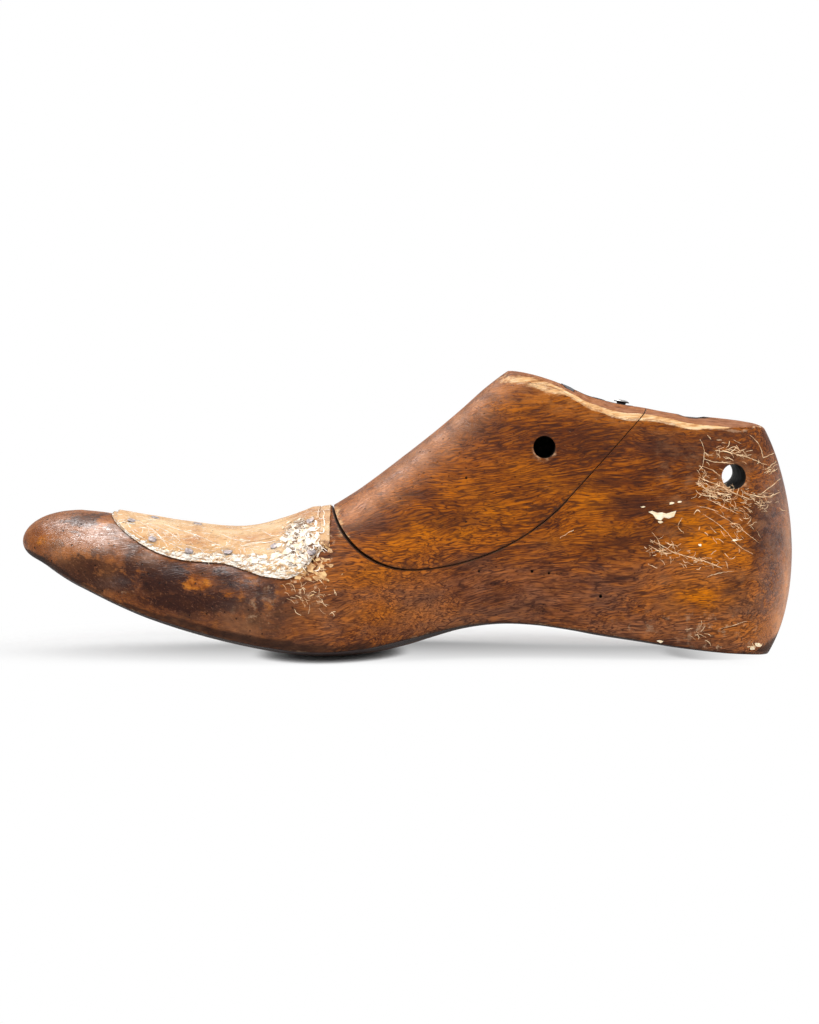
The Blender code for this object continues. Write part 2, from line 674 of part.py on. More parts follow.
def build_pin(group, cutters, steel):
    """The draw pin, whose head stands proud so that pincers can take it."""
    place = top_place(PIN_FROM_HEEL, LIFT_AXIS)
    shank, head, low = PIN_SHANK / 2, PIN_HEAD / 2, PIN_PROUD
    dome = [(0, low + PIN_HEAD_THICKNESS), (head * 0.55, low + PIN_HEAD_THICKNESS * 0.85)]
    profile = dome + [
        (head, low + PIN_HEAD_THICKNESS * 0.4), (head, low), (shank, low),
        (shank, -PIN_LENGTH + PIN_POINT), (0, -PIN_LENGTH),
    ]
    pin = turned("block_pin", profile, HOLE_SIDES, place, group)
    pin.data.materials.append(steel)
    hole = rod_profile(shank + CLEARANCE, -PIN_LENGTH - CLEARANCE, PIN_LENGTH)
    return pin, turned("pin_hole", hole, HOLE_SIDES, place, cutters)


def build_peg(group, cutters, wood):
    """The locating peg, seated in the scoop's floor and standing into the block."""
    place = place_at(along(PEG_FROM_HEEL), 0, scoop_floor(PEG_FROM_HEEL) * TALL, LIFT_AXIS)
    radius, chamfer = PEG_DIAMETER / 2, PEG_CHAMFER
    profile = [
        (0, PEG_PROUD), (radius - chamfer, PEG_PROUD), (radius, PEG_PROUD - chamfer),
        (radius, -PEG_SEATED), (0, -PEG_SEATED),
    ]
    peg = turned("locating_peg", profile, HOLE_SIDES, place, group)
    peg.data.materials.append(wood)
    hole = rod_profile(radius + CLEARANCE, -PEG_SEATED - CLEARANCE, PEG_PROUD + CLEARANCE)
    return peg, turned("peg_hole", hole, HOLE_SIDES, place, cutters)


def surface(from_heel, across, margin=1.0):
    """A point and the outward direction of the vamp. across runs from the fitting's inner edge, -1,
    over the ridge, 0, to its outer edge, 1, and margin pulls both edges in."""

    def point(d, share):
        side = 1 if share > 0 else -1
        spoke = side_spoke(d, side)
        low, high = 0.05, 0.999
        for _ in range(30):
            middle = (low + high) / 2
            low, high = (middle, high) if spoke.wall(middle).z < fitting_edge(d) * TALL else (low, middle)
        return spoke.wall(1 - (1 - low) * abs(share) * margin)

    step = 0.02
    forward = point(from_heel + step * 20, across) - point(from_heel - step * 20, across)
    sideways = point(from_heel, across + step) - point(from_heel, across - step)
    return point(from_heel, across), forward.cross(sideways).normalized() * -1


def leather_layer(name, front, rear, lift, thickness, margin, group):
    """A skived piece of leather over the vamp, from its rear to its front, on what lies below it."""
    top_rows, bottom_rows = [], []
    for i in range(FITTING_STATIONS + 1):
        share = i / FITTING_STATIONS
        d = rear + (front - rear) * (1 - (1 - share) ** 1.5)
        tops, bottoms = [], []
        for j in range(FITTING_STRIPS + 1):
            across = -1 + 2 * j / FITTING_STRIPS
            point, outward = surface(d, across or 1e-6, margin)
            skive = 1 - abs(across) ** 4
            thick = SKIVED_EDGE + (thickness(d) - SKIVED_EDGE) * skive
            base = lift(d, across * margin) + LEATHER_BED
            bottoms.append(point + outward * base)
            tops.append(point + outward * (base + thick))
        top_rows.append(tops)
        bottom_rows.append(bottoms)
    rows = [top + bottom[::-1] for top, bottom in zip(top_rows, bottom_rows)]
    return add_object(name, strip_mesh(name, rows), group)


def strip_mesh(name, rows):
    """A closed strip: rows run over the top and back below, and each end is closed in quads."""
    mesh = grid_mesh(name, rows, close_columns=True)
    bm = bmesh.new()
    bm.from_mesh(mesh)
    for row in (rows[0], rows[-1]):
        count = len(row) // 2
        found = [min(bm.verts, key=lambda v, p=p: (v.co - p * MM).length) for p in row]
        for i in range(count - 1):
            bm.faces.new((found[i], found[i + 1], found[-2 - i], found[-1 - i]))
    bmesh.ops.recalc_face_normals(bm, faces=bm.faces)
    bm.to_mesh(mesh)
    bm.free()
    return mesh


def lower_thickness(from_heel, across):
    skive = 1 - abs(across) ** 4
    return LEATHER_BED + SKIVED_EDGE + (lower_leather(from_heel) - SKIVED_EDGE) * skive


def build_tacks(group, holes, iron):
    """The tacks and their holes, each square to the leather where it is driven."""
    radius, shank = TACK_HEAD / 2, TACK_SHANK / 2
    tacks = []
    for i, (d, across) in enumerate(TACKS):
        point, outward = surface(d, across)
        stack = lower_thickness(d, across) + LEATHER_BED + upper_leather(d)
        seat = point + outward * (stack + LEATHER_BED)
        place = place_at(*seat, outward)
        profile = [
            (0, TACK_HEAD_THICKNESS), (radius * 0.8, TACK_HEAD_THICKNESS * 0.8), (radius, 0.1),
            (shank, 0), (shank, -TACK_LENGTH * 0.4), (0, -TACK_LENGTH),
        ]
        tack = turned(f"tack_{i + 1:02d}", profile, TACK_SIDES, place, group)
        tack.data.materials.append(iron)
        hole = rod_profile(shank + CLEARANCE, -TACK_LENGTH - CLEARANCE, CLEARANCE * 2)
        turned(f"tack_hole_{i + 1:02d}", hole, TACK_SIDES - 2, place, holes)
        tacks.append(tack)
    return tacks


def set_origin(piece, place):
    """Moves a piece's origin to a place, without moving its shape."""
    piece.data.transform(place.inverted())
    piece.matrix_world = place


def carry(parent, pieces):
    """Parents pieces where they are."""
    bpy.context.view_layer.update()
    for piece in pieces:
        piece.parent = parent
        piece.matrix_parent_inverse = parent.matrix_world.inverted()


def build():
    for old in list(bpy.data.objects):
        bpy.data.objects.remove(old)
    group, cutters = collection("shoe_last"), collection("cutters")
    tack_holes = collection("tack_holes")
    wood = finish_of("last_wood", (0.34, 0.13, 0.04), 0.38)
    peg_wood = finish_of("peg_wood", (0.55, 0.36, 0.17), 0.6)
    leather = finish_of("fitting_leather", (0.72, 0.46, 0.22), 0.62)
    steel = finish_of("dark_steel", (0.16, 0.17, 0.18), 0.42, 1.0)
    iron = finish_of("tack_iron", (0.22, 0.21, 0.21), 0.45, 1.0)

    form = last_form()
    form.materials.append(wood)
    body = add_object("last_body", form, group)
    block = add_object("scoop_block", form.copy(), group)
    set_origin(block, top_place(PIN_FROM_HEEL, LIFT_AXIS))
    scoop_mesh = plate_mesh("scoop_cutter", scoop_outline(0), 2 * CUT_REACH)
    block_mesh = plate_mesh("block_bounds", scoop_outline(1), 2 * CUT_REACH)
    cut(body, add_object("scoop_cutter", scoop_mesh, cutters))
    cut(block, add_object("block_bounds", block_mesh, cutters), "INTERSECT")

    cut(body, cross_hole("pull_hole", PULL_HOLE, PULL_HOLE_BORE, -CUT_REACH, CUT_REACH, cutters))
    floor = wall_y(HOOK_HOLE, -1) + HOOK_HOLE_DEPTH
    cut(block, cross_hole("hook_hole", HOOK_HOLE, HOOK_HOLE_BORE, -CUT_REACH, floor, cutters))

    thimble, thimble_bore = build_thimble(group, cutters, steel)
    strap_and_screws, strap_cutters = build_strap(group, cutters, steel)
    pin, pin_hole = build_pin(group, cutters, steel)
    peg, peg_hole = build_peg(group, cutters, peg_wood)
    for cutter in (thimble_bore, pin_hole, peg_hole):
        cut(body, cutter)
    for cutter in (*strap_cutters, pin_hole, peg_hole):
        cut(block, cutter)
    cut(strap_and_screws[0], pin_hole)

    rear = scoop_front() + FITTING_REAR_GAP
    lower = leather_layer(
        "leather_lower_layer", FITTING_FRONT, rear, lambda d, a: 0.0, lower_leather, 1.0, group
    )
    upper = leather_layer(
        "leather_upper_layer", UPPER_FRONT, UPPER_REAR, lower_thickness, upper_leather, UPPER_MARGIN, group
    )
    tacks = build_tacks(group, tack_holes, iron)
    for piece in (lower, upper):
        piece.data.materials.append(leather)
        cut(piece, tack_holes)
    cut(body, tack_holes)
    carry(block, strap_and_screws)
    carry(block, [pin])
    carry(body, [block, thimble, peg, lower, upper, *tacks])
    for cutter in [*cutters.objects, *tack_holes.objects]:
        hide(cutter)


build()
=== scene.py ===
"""The looks of a worn wooden shoe last with a scoop block: wood, leather, steel and light.

The wooden pieces are lofted again from the lines that the CAD model uses, finer and with wear.
Lengths in the lines are millimetres, and MM turns them into metres. Every piece is built in the
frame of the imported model: +X to the heel, -Y the inner side, which faces the camera, and +Z up.
"""

import random
from functools import cached_property
from math import atan, ceil, cos, hypot, pi, radians, sin, tan

import bmesh
import bpy
import numpy as np
from mathutils import Matrix, Vector, noise
from mathutils.bvhtree import BVHTree


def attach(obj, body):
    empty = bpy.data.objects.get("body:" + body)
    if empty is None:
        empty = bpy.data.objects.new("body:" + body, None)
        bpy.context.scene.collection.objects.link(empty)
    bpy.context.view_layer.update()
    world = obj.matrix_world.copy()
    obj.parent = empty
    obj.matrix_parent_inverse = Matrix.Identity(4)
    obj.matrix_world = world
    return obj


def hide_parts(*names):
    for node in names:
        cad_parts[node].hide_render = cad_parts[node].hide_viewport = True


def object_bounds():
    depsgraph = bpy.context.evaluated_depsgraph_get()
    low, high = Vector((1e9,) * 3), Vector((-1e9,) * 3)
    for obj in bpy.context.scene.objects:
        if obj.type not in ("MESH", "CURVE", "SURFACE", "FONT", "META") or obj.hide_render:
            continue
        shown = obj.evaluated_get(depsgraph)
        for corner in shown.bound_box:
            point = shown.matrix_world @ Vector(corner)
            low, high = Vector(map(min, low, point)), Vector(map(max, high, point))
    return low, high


MM = 0.001

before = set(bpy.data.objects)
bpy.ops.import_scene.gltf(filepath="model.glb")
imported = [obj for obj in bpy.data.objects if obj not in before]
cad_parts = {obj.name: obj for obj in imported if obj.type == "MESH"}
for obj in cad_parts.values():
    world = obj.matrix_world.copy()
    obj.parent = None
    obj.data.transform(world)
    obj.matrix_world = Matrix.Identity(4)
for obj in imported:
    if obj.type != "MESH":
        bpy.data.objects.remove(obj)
cad_low, cad_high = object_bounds()

# The lines of the last: (distance from the heel's back, value).
LENGTH = 290.0
CREST_LINE = (
    (27, 100), (45, 104), (70, 109), (88, 113), (105, 108.5), (115, 101.5), (125, 92.6),
    (145, 76.4), (165, 61.7), (174, 56.2), (190, 48.5), (205, 44.2), (215, 44.2), (230, 46.9),
    (246, 51.1), (257, 53.8), (268, 55),
)
SOLE_LINE = (
    (12, 0.1), (27, 1), (42, 2.6), (58, 4.9), (75, 7.5), (85, 9.3), (98, 11), (112, 11.2),
    (125, 9.2), (135, 6.4), (145, 3.5), (158, 0.9), (165, 0.3), (173, 0), (181, 0.3), (190, 1.2),
    (208, 4.5), (220, 7.5), (231, 10.7), (243, 14.8), (254, 19.4), (268, 26.2),
)
RIDGE_LINE = (
    (27, 0), (100, -0.5), (125, -2.5), (145, -4.5), (165, -6.5), (190, -8.5), (230, -9.5), (268, -7.5),
)
INNER_EDGE = (
    (27, -23.5), (45, -25.2), (70, -24.2), (90, -22.4), (105, -22), (125, -24.5), (145, -31),
    (160, -36.6), (175, -40.8), (190, -42.2), (205, -41.3), (230, -37), (250, -31.8), (268, -25.8),
)
OUTER_EDGE = (
    (27, 24.5), (45, 27), (70, 28.5), (90, 31.7), (105, 36), (125, 41.2), (145, 44.2), (165, 44.6),
    (185, 42.1), (205, 36.9), (230, 28.6), (250, 20.4), (268, 12.8),
)
INNER_RISE = (
    (27, 1.3), (45, 1.9), (70, 2.2), (90, 2), (110, 2.2), (125, 3.2), (135, 4.1), (147, 4.9),
    (165, 4.6), (185, 4.2), (205, 4), (230, 3.6), (250, 3), (268, 2.5),
)
OUTER_RISE = (
    (27, 1.3), (45, 1.9), (70, 2), (90, 1.6), (125, 1.8), (145, 3), (165, 4), (205, 4.5),
    (230, 3.6), (250, 3), (268, 2.5),
)
WALL_FLARE = (
    (27, 14), (45, 13.5), (70, 12), (90, 10.5), (105, 10), (125, 9.5), (145, 9), (165, 8.5),
    (190, 8), (215, 7.5), (240, 7), (268, 7),
)
WALL_KNEE = ((27, 0.41), (70, 0.42), (105, 0.44), (145, 0.5), (190, 0.56), (230, 0.58), (268, 0.52))
RIDGE_FULLNESS = (
    (27, 14.5), (45, 15), (70, 14), (90, 12.5), (105, 11), (125, 11), (145, 13), (165, 16),
    (190, 20), (215, 21), (240, 18), (268, 14),
)
TOP_LINE = (
    (0, 74), (5, 80.4), (9, 84.5), (13, 86.8), (18, 88), (25, 89), (33, 89.8), (40, 90.4), (50, 92),
    (57, 93.4), (64, 94.4), (68, 95.2), (73, 96.5), (78, 98.1), (82, 99.9), (88, 102.5), (94, 104.6),
    (99, 106), (107, 107.2), (113, 106.6), (121, 105), (290, 100),
)
TOP_EDGE = (
    (0, 12), (12, 14.2), (25, 13.9), (38, 14.4), (57, 14.3), (67, 14), (74, 13.6), (81, 12.8),
    (88, 11.6), (96, 9.6), (104, 7.4), (121, 6.6),
)
TOP_FALL = (
    (0, 1.3), (14, 1.8), (19, 2.3), (25, 2.7), (32, 2.8), (40, 2.6), (46, 2.1), (52, 1.9), (58, 2.3),
    (66, 2.8), (73, 2.5), (80, 2.2), (88, 1.7), (96, 1), (104, 0.4), (121, 0.3),
)
HEEL_CENTRE, TOE_CENTRE = 27.0, 268.0
HEEL_END = (18.8, 0.6, (39.1, 34.5), 20.8)
TOE_END = (15.0, 2.5, (27.7, 39.0), 23.5)
TREAD_SHARE = 0.12
TOP_FLAT, TOP_BEVEL = 9.0, radians(44)

# The scoop, the holes and the steelwork, as in the CAD model.
SCOOP_BOTTOM = (143.7, 34.1)
SCOOP_FRONT_RADIUS, SCOOP_REAR_RADIUS, SCOOP_REAR_SLOPE = 31.0, 78.5, radians(47.3)
JOINT_GAP, FRONT_GAPE = 0.35, 0.7
CUT_TOP, CUT_WIDTH, CUT_REACH = 135.0, 150, 70
PULL_HOLE, PULL_HOLE_BORE = (24.2, 67.9), 9.2
HOOK_HOLE, HOOK_HOLE_BORE, HOOK_HOLE_FLOOR = (94.4, 78.8), 8.3, 6.0
CLEARANCE = 0.3
THIMBLE_FROM_HEEL, THIMBLE_BORE, THIMBLE_WALL, THIMBLE_SUNK = 37.9, 10.4, 0.8, 0.6
THIMBLE_LENGTH, FLANGE_RADIUS, FLANGE_THICKNESS = 45.0, 6.6, 0.9
STRAP_FRONT, STRAP_SHOULDER, STRAP_REAR, STRAP_THICKNESS = 87.2, 82.8, 60.2, 1.1
STRAP_WIDTH, STRAP_END_WIDTH, STRAP_NOSE_WIDTH, STRAP_TAPER = 6.4, 15.6, 7.6, 1.8
STRAP_SCREWS, SCREW_HEAD, SCREW_SHANK, SCREW_LENGTH = (84.9, 72.9), 5.0, 2.6, 12.0
SCREW_PROUD, THREAD_PITCH = 0.25, 0.45
PIN_FROM_HEEL, PIN_SHANK, PIN_HEAD, PIN_PROUD, PIN_LENGTH = 64.4, 3.4, 5.8, 0.7, 29.0
PEG_FROM_HEEL, PEG_DIAMETER, PEG_SEATED, PEG_PROUD = 146.0, 6.0, 12.0, 8.0
FITTING_EDGE = (
    (172, 30.8), (181, 30.8), (190, 31.4), (199, 32.5), (206, 34.7), (212, 36.4), (218, 36.9),
    (227, 37.7), (239, 41.2), (248.5, 46.6), (252.8, 50), (255.7, 53),
)
LOWER_LEATHER = (
    (173, 1.1), (181, 1.4), (190, 1.7), (205, 2.1), (220, 2.1), (235, 1.5), (248, 0.8), (255.7, 0.5),
)
UPPER_LEATHER = (
    (176, 1), (184, 1.3), (195, 1.7), (208, 2.1), (220, 2.1), (235, 1.5), (248, 0.9), (255, 0.5),
)
FITTING_FRONT, FITTING_REAR = 255.7, 173.9
UPPER_FRONT, UPPER_REAR, UPPER_MARGIN = 254.0, 177.0, 0.97
SKIVED_EDGE, LEATHER_BED = 0.19, 0.35
TACKS = (
    (247.9, -0.58), (239.1, -0.82), (225.4, -0.86), (211.1, -0.83), (193.3, -0.65),
    (180.3, -0.39), (180.0, -0.76), (240.2, -0.18), (224.3, -0.14), (248.0, 0.44),
    (238.0, 0.70), (224.0, 0.73), (209.0, 0.66), (194.5, 0.52), (182.4, 0.34),
)

# The photograph's camera, in metres and in the frame's own pixels.
CAMERA_DISTANCE, CAMERA_ELEVATION, FOCAL_PIXELS = 0.965, radians(3.2), 2545.0
IMAGE_WIDTH, IMAGE_HEIGHT, SENSOR_WIDTH = 819, 1024, 36.0
AIM, AIM_PIXEL = Vector((0, 0, 0.0534)), (408.0, 512.5)
# Millimetres that a pixel's length of stain takes, on the side in the photograph and on the far side.
PIXEL, FAR_PIXEL = 0.38, 0.42

WOOD_BROWN, WOOD_ORANGE, WOOD_LIGHT = (0.105, 0.027, 0.008), (0.275, 0.068, 0.005), (0.46, 0.135, 0.010)
WHITE = (1, 1, 1, 1)

# How many are scattered: threads of glue and worm holes on the far side, chips along the leather's
# inner side, at its torn corner and along its outer side, and shreds, curls and fine scores.
FAR_GLUE_THREADS, FAR_WORM_HOLES = 44, 9
INNER_CHIPS, CORNER_CHIPS, OUTER_CHIPS = 110, 40, 40
CORNER_SHREDS, CORNER_CURLS, FINE_SCORES = 70, 30, 150
# The leather layers, in millimetres: their bed and thickness at the skived sides, and their least.
SIDE_BED, SIDE_THICKNESS, LEAST_THICKNESS = 0.03, 0.16, 0.13

# Faces that meet at more than these angles keep a sharp edge between them.
HARD_EDGE, LEATHER_EDGE, SOFT_EDGE = radians(32), radians(50), radians(60)
FLOOR_RADIUS, FLOOR_DROP, SKY_STRENGTH, LAMPS_AIM = 9.0, 0.0002, 0.72, Vector((0, 0, 0.04))

# How finely the forms are divided.
SIDE_STATIONS, FAN_STEPS, WALL_STEPS = 150, 36, 54
SOLE_SHARES = tuple(i / 14 for i in range(14))
ROUND_SIDES = 64


def line(points):
    """A smooth line through (distance from the heel, value) points, as a function of the distance."""

    def slope(i):
        (x0, y0), (x1, y1), (x2, y2) = points[i - 1], points[i], points[i + 1]
        before, after = (y1 - y0) / (x1 - x0), (y2 - y1) / (x2 - x1)
        return (before * (x2 - x1) + after * (x1 - x0)) / (x2 - x0)

    last = len(points) - 1
    ends = [(points[i + 1][1] - points[i][1]) / (points[i + 1][0] - points[i][0]) for i in (0, last - 1)]
    slopes = [ends[0]] + [slope(i) for i in range(1, last)] + [ends[1]]

    def value(at):
        i = next((k for k in range(last) if at <= points[k + 1][0]), last - 1)
        (x0, y0), (x1, y1) = points[i], points[i + 1]
        span = x1 - x0
        u = (at - x0) / span
        if u < 0 or u > 1:
            end = 0 if u < 0 else last
            return points[end][1] + slopes[end] * (at - points[end][0])
        return (
            y0 * (2 * u**3 - 3 * u**2 + 1)
            + y1 * (3 * u**2 - 2 * u**3)
            + span * slopes[i] * (u**3 - 2 * u**2 + u)
            + span * slopes[i + 1] * (u**3 - u**2)
        )

    return value


crest_height, sole_height, ridge_offset = line(CREST_LINE), line(SOLE_LINE), line(RIDGE_LINE)
inner_edge, outer_edge = line(INNER_EDGE), line(OUTER_EDGE)
inner_rise, outer_rise = line(INNER_RISE), line(OUTER_RISE)
wall_flare, wall_knee, ridge_fullness = line(WALL_FLARE), line(WALL_KNEE), line(RIDGE_FULLNESS)
top_height, top_edge, top_fall = line(TOP_LINE), line(TOP_EDGE), line(TOP_FALL)
fitting_edge, lower_leather, upper_leather = line(FITTING_EDGE), line(LOWER_LEATHER), line(UPPER_LEATHER)


def along(from_heel):
    return LENGTH / 2 - from_heel


def slope_of(height, from_heel):
    return atan(height(from_heel + 0.5) - height(from_heel - 0.5))


def lean(angle):
    return Vector((sin(angle), 0, cos(angle)))


THIMBLE_AXIS = lean(slope_of(top_height, THIMBLE_FROM_HEEL))
LIFT_AXIS = lean(slope_of(top_height, PIN_FROM_HEEL))


def sawn_height(x, y):
    """The height of the sawn top above a point: flat in the middle, falling to its edges, then bevelled."""
    from_heel = LENGTH / 2 - x
    edge = top_edge(from_heel)
    aside = abs(y - ridge_offset(from_heel))
    fallen = min(max(aside - TOP_FLAT / 2, 0.0) / (edge - TOP_FLAT / 2), 1.0)
    return top_height(from_heel) - top_fall(from_heel) * fallen - max(aside - edge, 0.0) * tan(TOP_BEVEL)


class Spoke:
    """Half a section of the last: from the middle of the sole, out and up the wall, to the ridge."""

    def __init__(self, foot, ridge, outward, reach, tilt, rise, knee, brow):
        self.foot, self.ridge, self.outward = Vector(foot), Vector(ridge), Vector(outward)
        self.reach, self.tilt, self.rise, self.knee, self.brow = reach, tilt, rise, knee, brow

    def sole(self, share):
        crown = max(0.0, (share - TREAD_SHARE) / (1 - TREAD_SHARE)) ** 2
        point = self.foot + self.outward * self.reach * share
        point.z += self.tilt * self.reach * share + self.rise * crown
        return point

    def wall(self, t):
        edge = self.foot.z + self.tilt * self.reach + self.rise
        a, b, c = (1 - t) ** 3, 3 * t * (1 - t) ** 2, 3 * t**2 * (1 - t)
        out = a * self.reach + b * self.knee[0] + c * self.brow
        height = a * edge + b * self.knee[1] + (1 - a - b) * self.ridge.z
        lift = (height - edge) / (self.ridge.z - edge)
        return Vector((
            self.foot.x + (self.ridge.x - self.foot.x) * lift + self.outward.x * out,
            self.foot.y + (self.ridge.y - self.foot.y) * lift + self.outward.y * out,
            height,
        ))

    def where(self, beyond):
        low, high = 0.3, 1.0
        for _ in range(24):
            middle = (low + high) / 2
            low, high = (low, middle) if beyond(self.wall(middle)) else (middle, high)
        return high


def side_spoke(from_heel, side):
    edge_y, rise = (inner_edge, inner_rise) if side < 0 else (outer_edge, outer_rise)
    middle = (inner_edge(from_heel) + outer_edge(from_heel)) / 2
    foot = (along(from_heel), middle, sole_height(from_heel))
    ridge = (along(from_heel), ridge_offset(from_heel), crest_height(from_heel))
    reach = abs(edge_y(from_heel) - middle)
    edge = foot[2] + rise(from_heel)
    knee = (reach + wall_flare(from_heel), edge + wall_knee(from_heel) * (ridge[2] - edge))
    return Spoke(foot, ridge, (0, side, 0), reach, 0.0, edge - foot[2], knee, ridge_fullness(from_heel))


def rounded(at_side, at_end, turn, taper):
    oval = at_side * at_end / hypot(at_side * cos(turn), at_end * sin(turn))
    return oval * (1 - taper * (radians(90) - turn) * (turn / radians(90)) ** 2)


def fan_spoke(side_one, end, tilt, direction, turn, taper):
    reach, rise, knee, brow = end
    share = cos(turn) ** 2
    outward = (direction * cos(turn), side_one.outward.y * sin(turn), 0)
    return Spoke(
        side_one.foot, side_one.ridge, outward,
        rounded(side_one.reach, reach, turn, taper),
        tilt * cos(turn),
        side_one.rise + (rise - side_one.rise) * share,
        (
            rounded(side_one.knee[0], knee[0], turn, taper),
            side_one.knee[1] + (knee[1] - side_one.knee[1]) * share,
        ),
        rounded(side_one.brow, brow, turn, taper),
    )


def fan(from_heel, direction, end, from_side):
    turns = [radians(90 - 180 * i / FAN_STEPS) for i in range(1, FAN_STEPS)]
    sides = {1: side_spoke(from_heel, from_side), -1: side_spoke(from_heel, -from_side)}
    before, after = side_spoke(from_heel + direction * 0.5, 1), side_spoke(from_heel - direction * 0.5, 1)
    taper = before.reach - after.reach
    tilt = -direction * tan(slope_of(sole_height, from_heel))
    return [fan_spoke(sides[1 if t >= 0 else -1], end, tilt, direction, abs(t), taper) for t in turns]


def spokes_of_the_last():
    stations = [TOE_CENTRE + (HEEL_CENTRE - TOE_CENTRE) * i / SIDE_STATIONS for i in range(SIDE_STATIONS + 1)]
    return (
        [side_spoke(d, -1) for d in stations]
        + fan(HEEL_CENTRE, 1, HEEL_END, -1)
        + [side_spoke(d, 1) for d in reversed(stations)]
        + fan(TOE_CENTRE, -1, TOE_END, 1)
    )


def eased(before, corner, after, radius):
    """Three points that round a corner between two neighbours."""
    a = corner + (before - corner).normalized() * min(radius, (before - corner).length * 0.6)
    b = corner + (after - corner).normalized() * min(radius, (after - corner).length * 0.6)
    return [a, (a + corner * 2 + b) / 4, b]


def rough(p, scale):
    """Smooth noise from -1 to 1 at a point in millimetres, with its features about scale wide."""
    return noise.noise(p / scale)


def column(spoke):
    """The points from the middle of the sole to the middle of the top, worn and with eased edges."""

    def within(width):
        return spoke.where(lambda p: hypot(p.x - spoke.ridge.x, p.y - spoke.ridge.y) < width)

    flat = within(TOP_FLAT / 2)
    edge = min(within(top_edge(LENGTH / 2 - spoke.ridge.x)), flat - 0.03)
    sawn = min(spoke.where(lambda p: p.z > sawn_height(p.x, p.y)), edge - 0.02)
    wall = [spoke.wall(sawn * i / WALL_STEPS) for i in range(WALL_STEPS + 1)]
    bevel = [spoke.wall(sawn + (edge - sawn) * i / 6) for i in range(1, 7)]
    top = [spoke.wall(edge + (flat - edge) * i / 6) for i in range(1, 7)]
    top += [spoke.wall(flat + (1 - flat) * i / 3) for i in range(1, 4)]
    for point in (*wall, *bevel, *top):
        point.z = min(point.z, sawn_height(point.x, point.y))
    sole = [spoke.sole(share) for share in SOLE_SHARES]
    foot = wall[0]
    chip = max(0.0, rough(foot, 5.0) - 0.25) * 1.2 + max(0.0, rough(foot, 1.7) - 0.35) * 0.7
    feather = eased(sole[-1], foot, wall[1], 0.45 + chip)
    brow = eased(wall[-2], wall[-1], bevel[0], 0.7 + 0.4 * rough(wall[-1], 9.0))
    arris = eased(bevel[-2], bevel[-1], top[0], 0.6 + 0.3 * rough(bevel[-1], 6.0))
    return sole, feather, wall[1:-1], brow, bevel[:-1], arris, top


def worn(point, depth):
    """A point sunk by hand work and wear: broad hollows, and finer ones."""
    broad = 0.5 + 0.5 * rough(point + Vector((31, 7, 3)), 22.0)
    fine = 0.5 + 0.5 * rough(point + Vector((5, 17, 11)), 6.0)
    return depth * (0.75 * broad + 0.25 * fine)


def collection(name):
    made = bpy.data.collections.new(name)
    bpy.context.scene.collection.children.link(made)
    return made


PIECES, CUTTERS = collection("looks"), collection("cutters")


def add_object(name, data, group=PIECES, place=Matrix(), material=None):
    made = bpy.data.objects.new(name, data)
    group.objects.link(made)
    made.matrix_world = place
    if material:
        data.materials.append(material)
    return made


def last_form():
    """The whole wooden form as a closed mesh in metres, before it is sawn into body and block."""
    bm = bmesh.new()
    rows, edges, rims = [], [], []
    for spoke in spokes_of_the_last():
        sole, feather, wall, brow, bevel, arris, top = column(spoke)
        edges.append(feather[1])
        rims.append(brow[1])
        rows.append([*sole, *feather, *wall, *brow, *bevel, *arris, *top])
    grid = [[bm.verts.new(p * MM) for p in row] for row in rows]
    for row, following in zip(grid, grid[1:] + grid[:1]):
        for i in range(len(row) - 1):
            bm.faces.new((row[i], row[i + 1], following[i + 1], following[i]))
    bmesh.ops.remove_doubles(bm, verts=bm.verts, dist=0.004 * MM)
    bmesh.ops.recalc_face_normals(bm, faces=bm.faces)
    bm.normal_update()
    sunk = [(v, v.co - v.normal * worn(v.co / MM, 0.22) * MM) for v in bm.verts]
    for v, co in sunk:
        v.co = co
        v.co.z = max(v.co.z, cad_low.z)
    SURFACE["tree"] = BVHTree.FromBMesh(bm)
    return mesh_from(bm, "last_form"), np.array(edges), np.array(rims)


def mesh_from(bm, name, closed=False):
    """The mesh that has been drawn. A closed one has its faces turned outward."""
    if closed:
        bmesh.ops.recalc_face_normals(bm, faces=bm.faces)
    mesh = bpy.data.meshes.new(name)
    bm.to_mesh(mesh)
    bm.free()
    return mesh


def skin(bm, rings):
    """Joins each ring of corners to the next one. A ring can be a single corner."""
    for upper, lower in zip(rings, rings[1:]):
        for i in range(max(len(upper), len(lower))):
            quad = ((upper, i), (lower, i), (lower, i + 1), (upper, i + 1))
            corners = list(dict.fromkeys(ring[k % len(ring)] for ring, k in quad))
            if len(corners) > 2:
                bm.faces.new(corners)


def outline_mesh(name, outline, width):
    """A flat outline in X and Z, in millimetres, thickened across Y."""
    bm = bmesh.new()
    layers = [[bm.verts.new(Vector((x, y, z)) * MM) for x, z in outline] for y in (-width / 2, width / 2)]
    bm.faces.new(layers[0])
    bm.faces.new(reversed(layers[-1]))
    skin(bm, layers)
    return mesh_from(bm, name, True)


def scoop_outline(opened, steps=48):
    """The scoop's outline in X and Z. opened is the share of the joint's gap that it keeps clear."""
    bottom, floor = SCOOP_BOTTOM
    front, rear = SCOOP_FRONT_RADIUS, SCOOP_REAR_RADIUS - opened * JOINT_GAP
    drawn = []
    for i in range(steps + 1):
        turn = radians(90 - 90 * i / steps)
        radius = front - opened * (JOINT_GAP + FRONT_GAPE * sin(2 * turn))
        drawn.append((bottom + radius * sin(turn), floor + front - radius * cos(turn)))
    for i in range(1, steps + 1):
        turn = SCOOP_REAR_SLOPE * i / steps
        drawn.append((bottom - rear * sin(turn), floor + SCOOP_REAR_RADIUS - rear * cos(turn)))
    from_heel, height = drawn[-1]
    drawn.append((from_heel - (CUT_TOP - height) / tan(SCOOP_REAR_SLOPE), CUT_TOP))
    drawn.append((drawn[0][0], CUT_TOP))
    return [(along(d), z) for d, z in drawn]


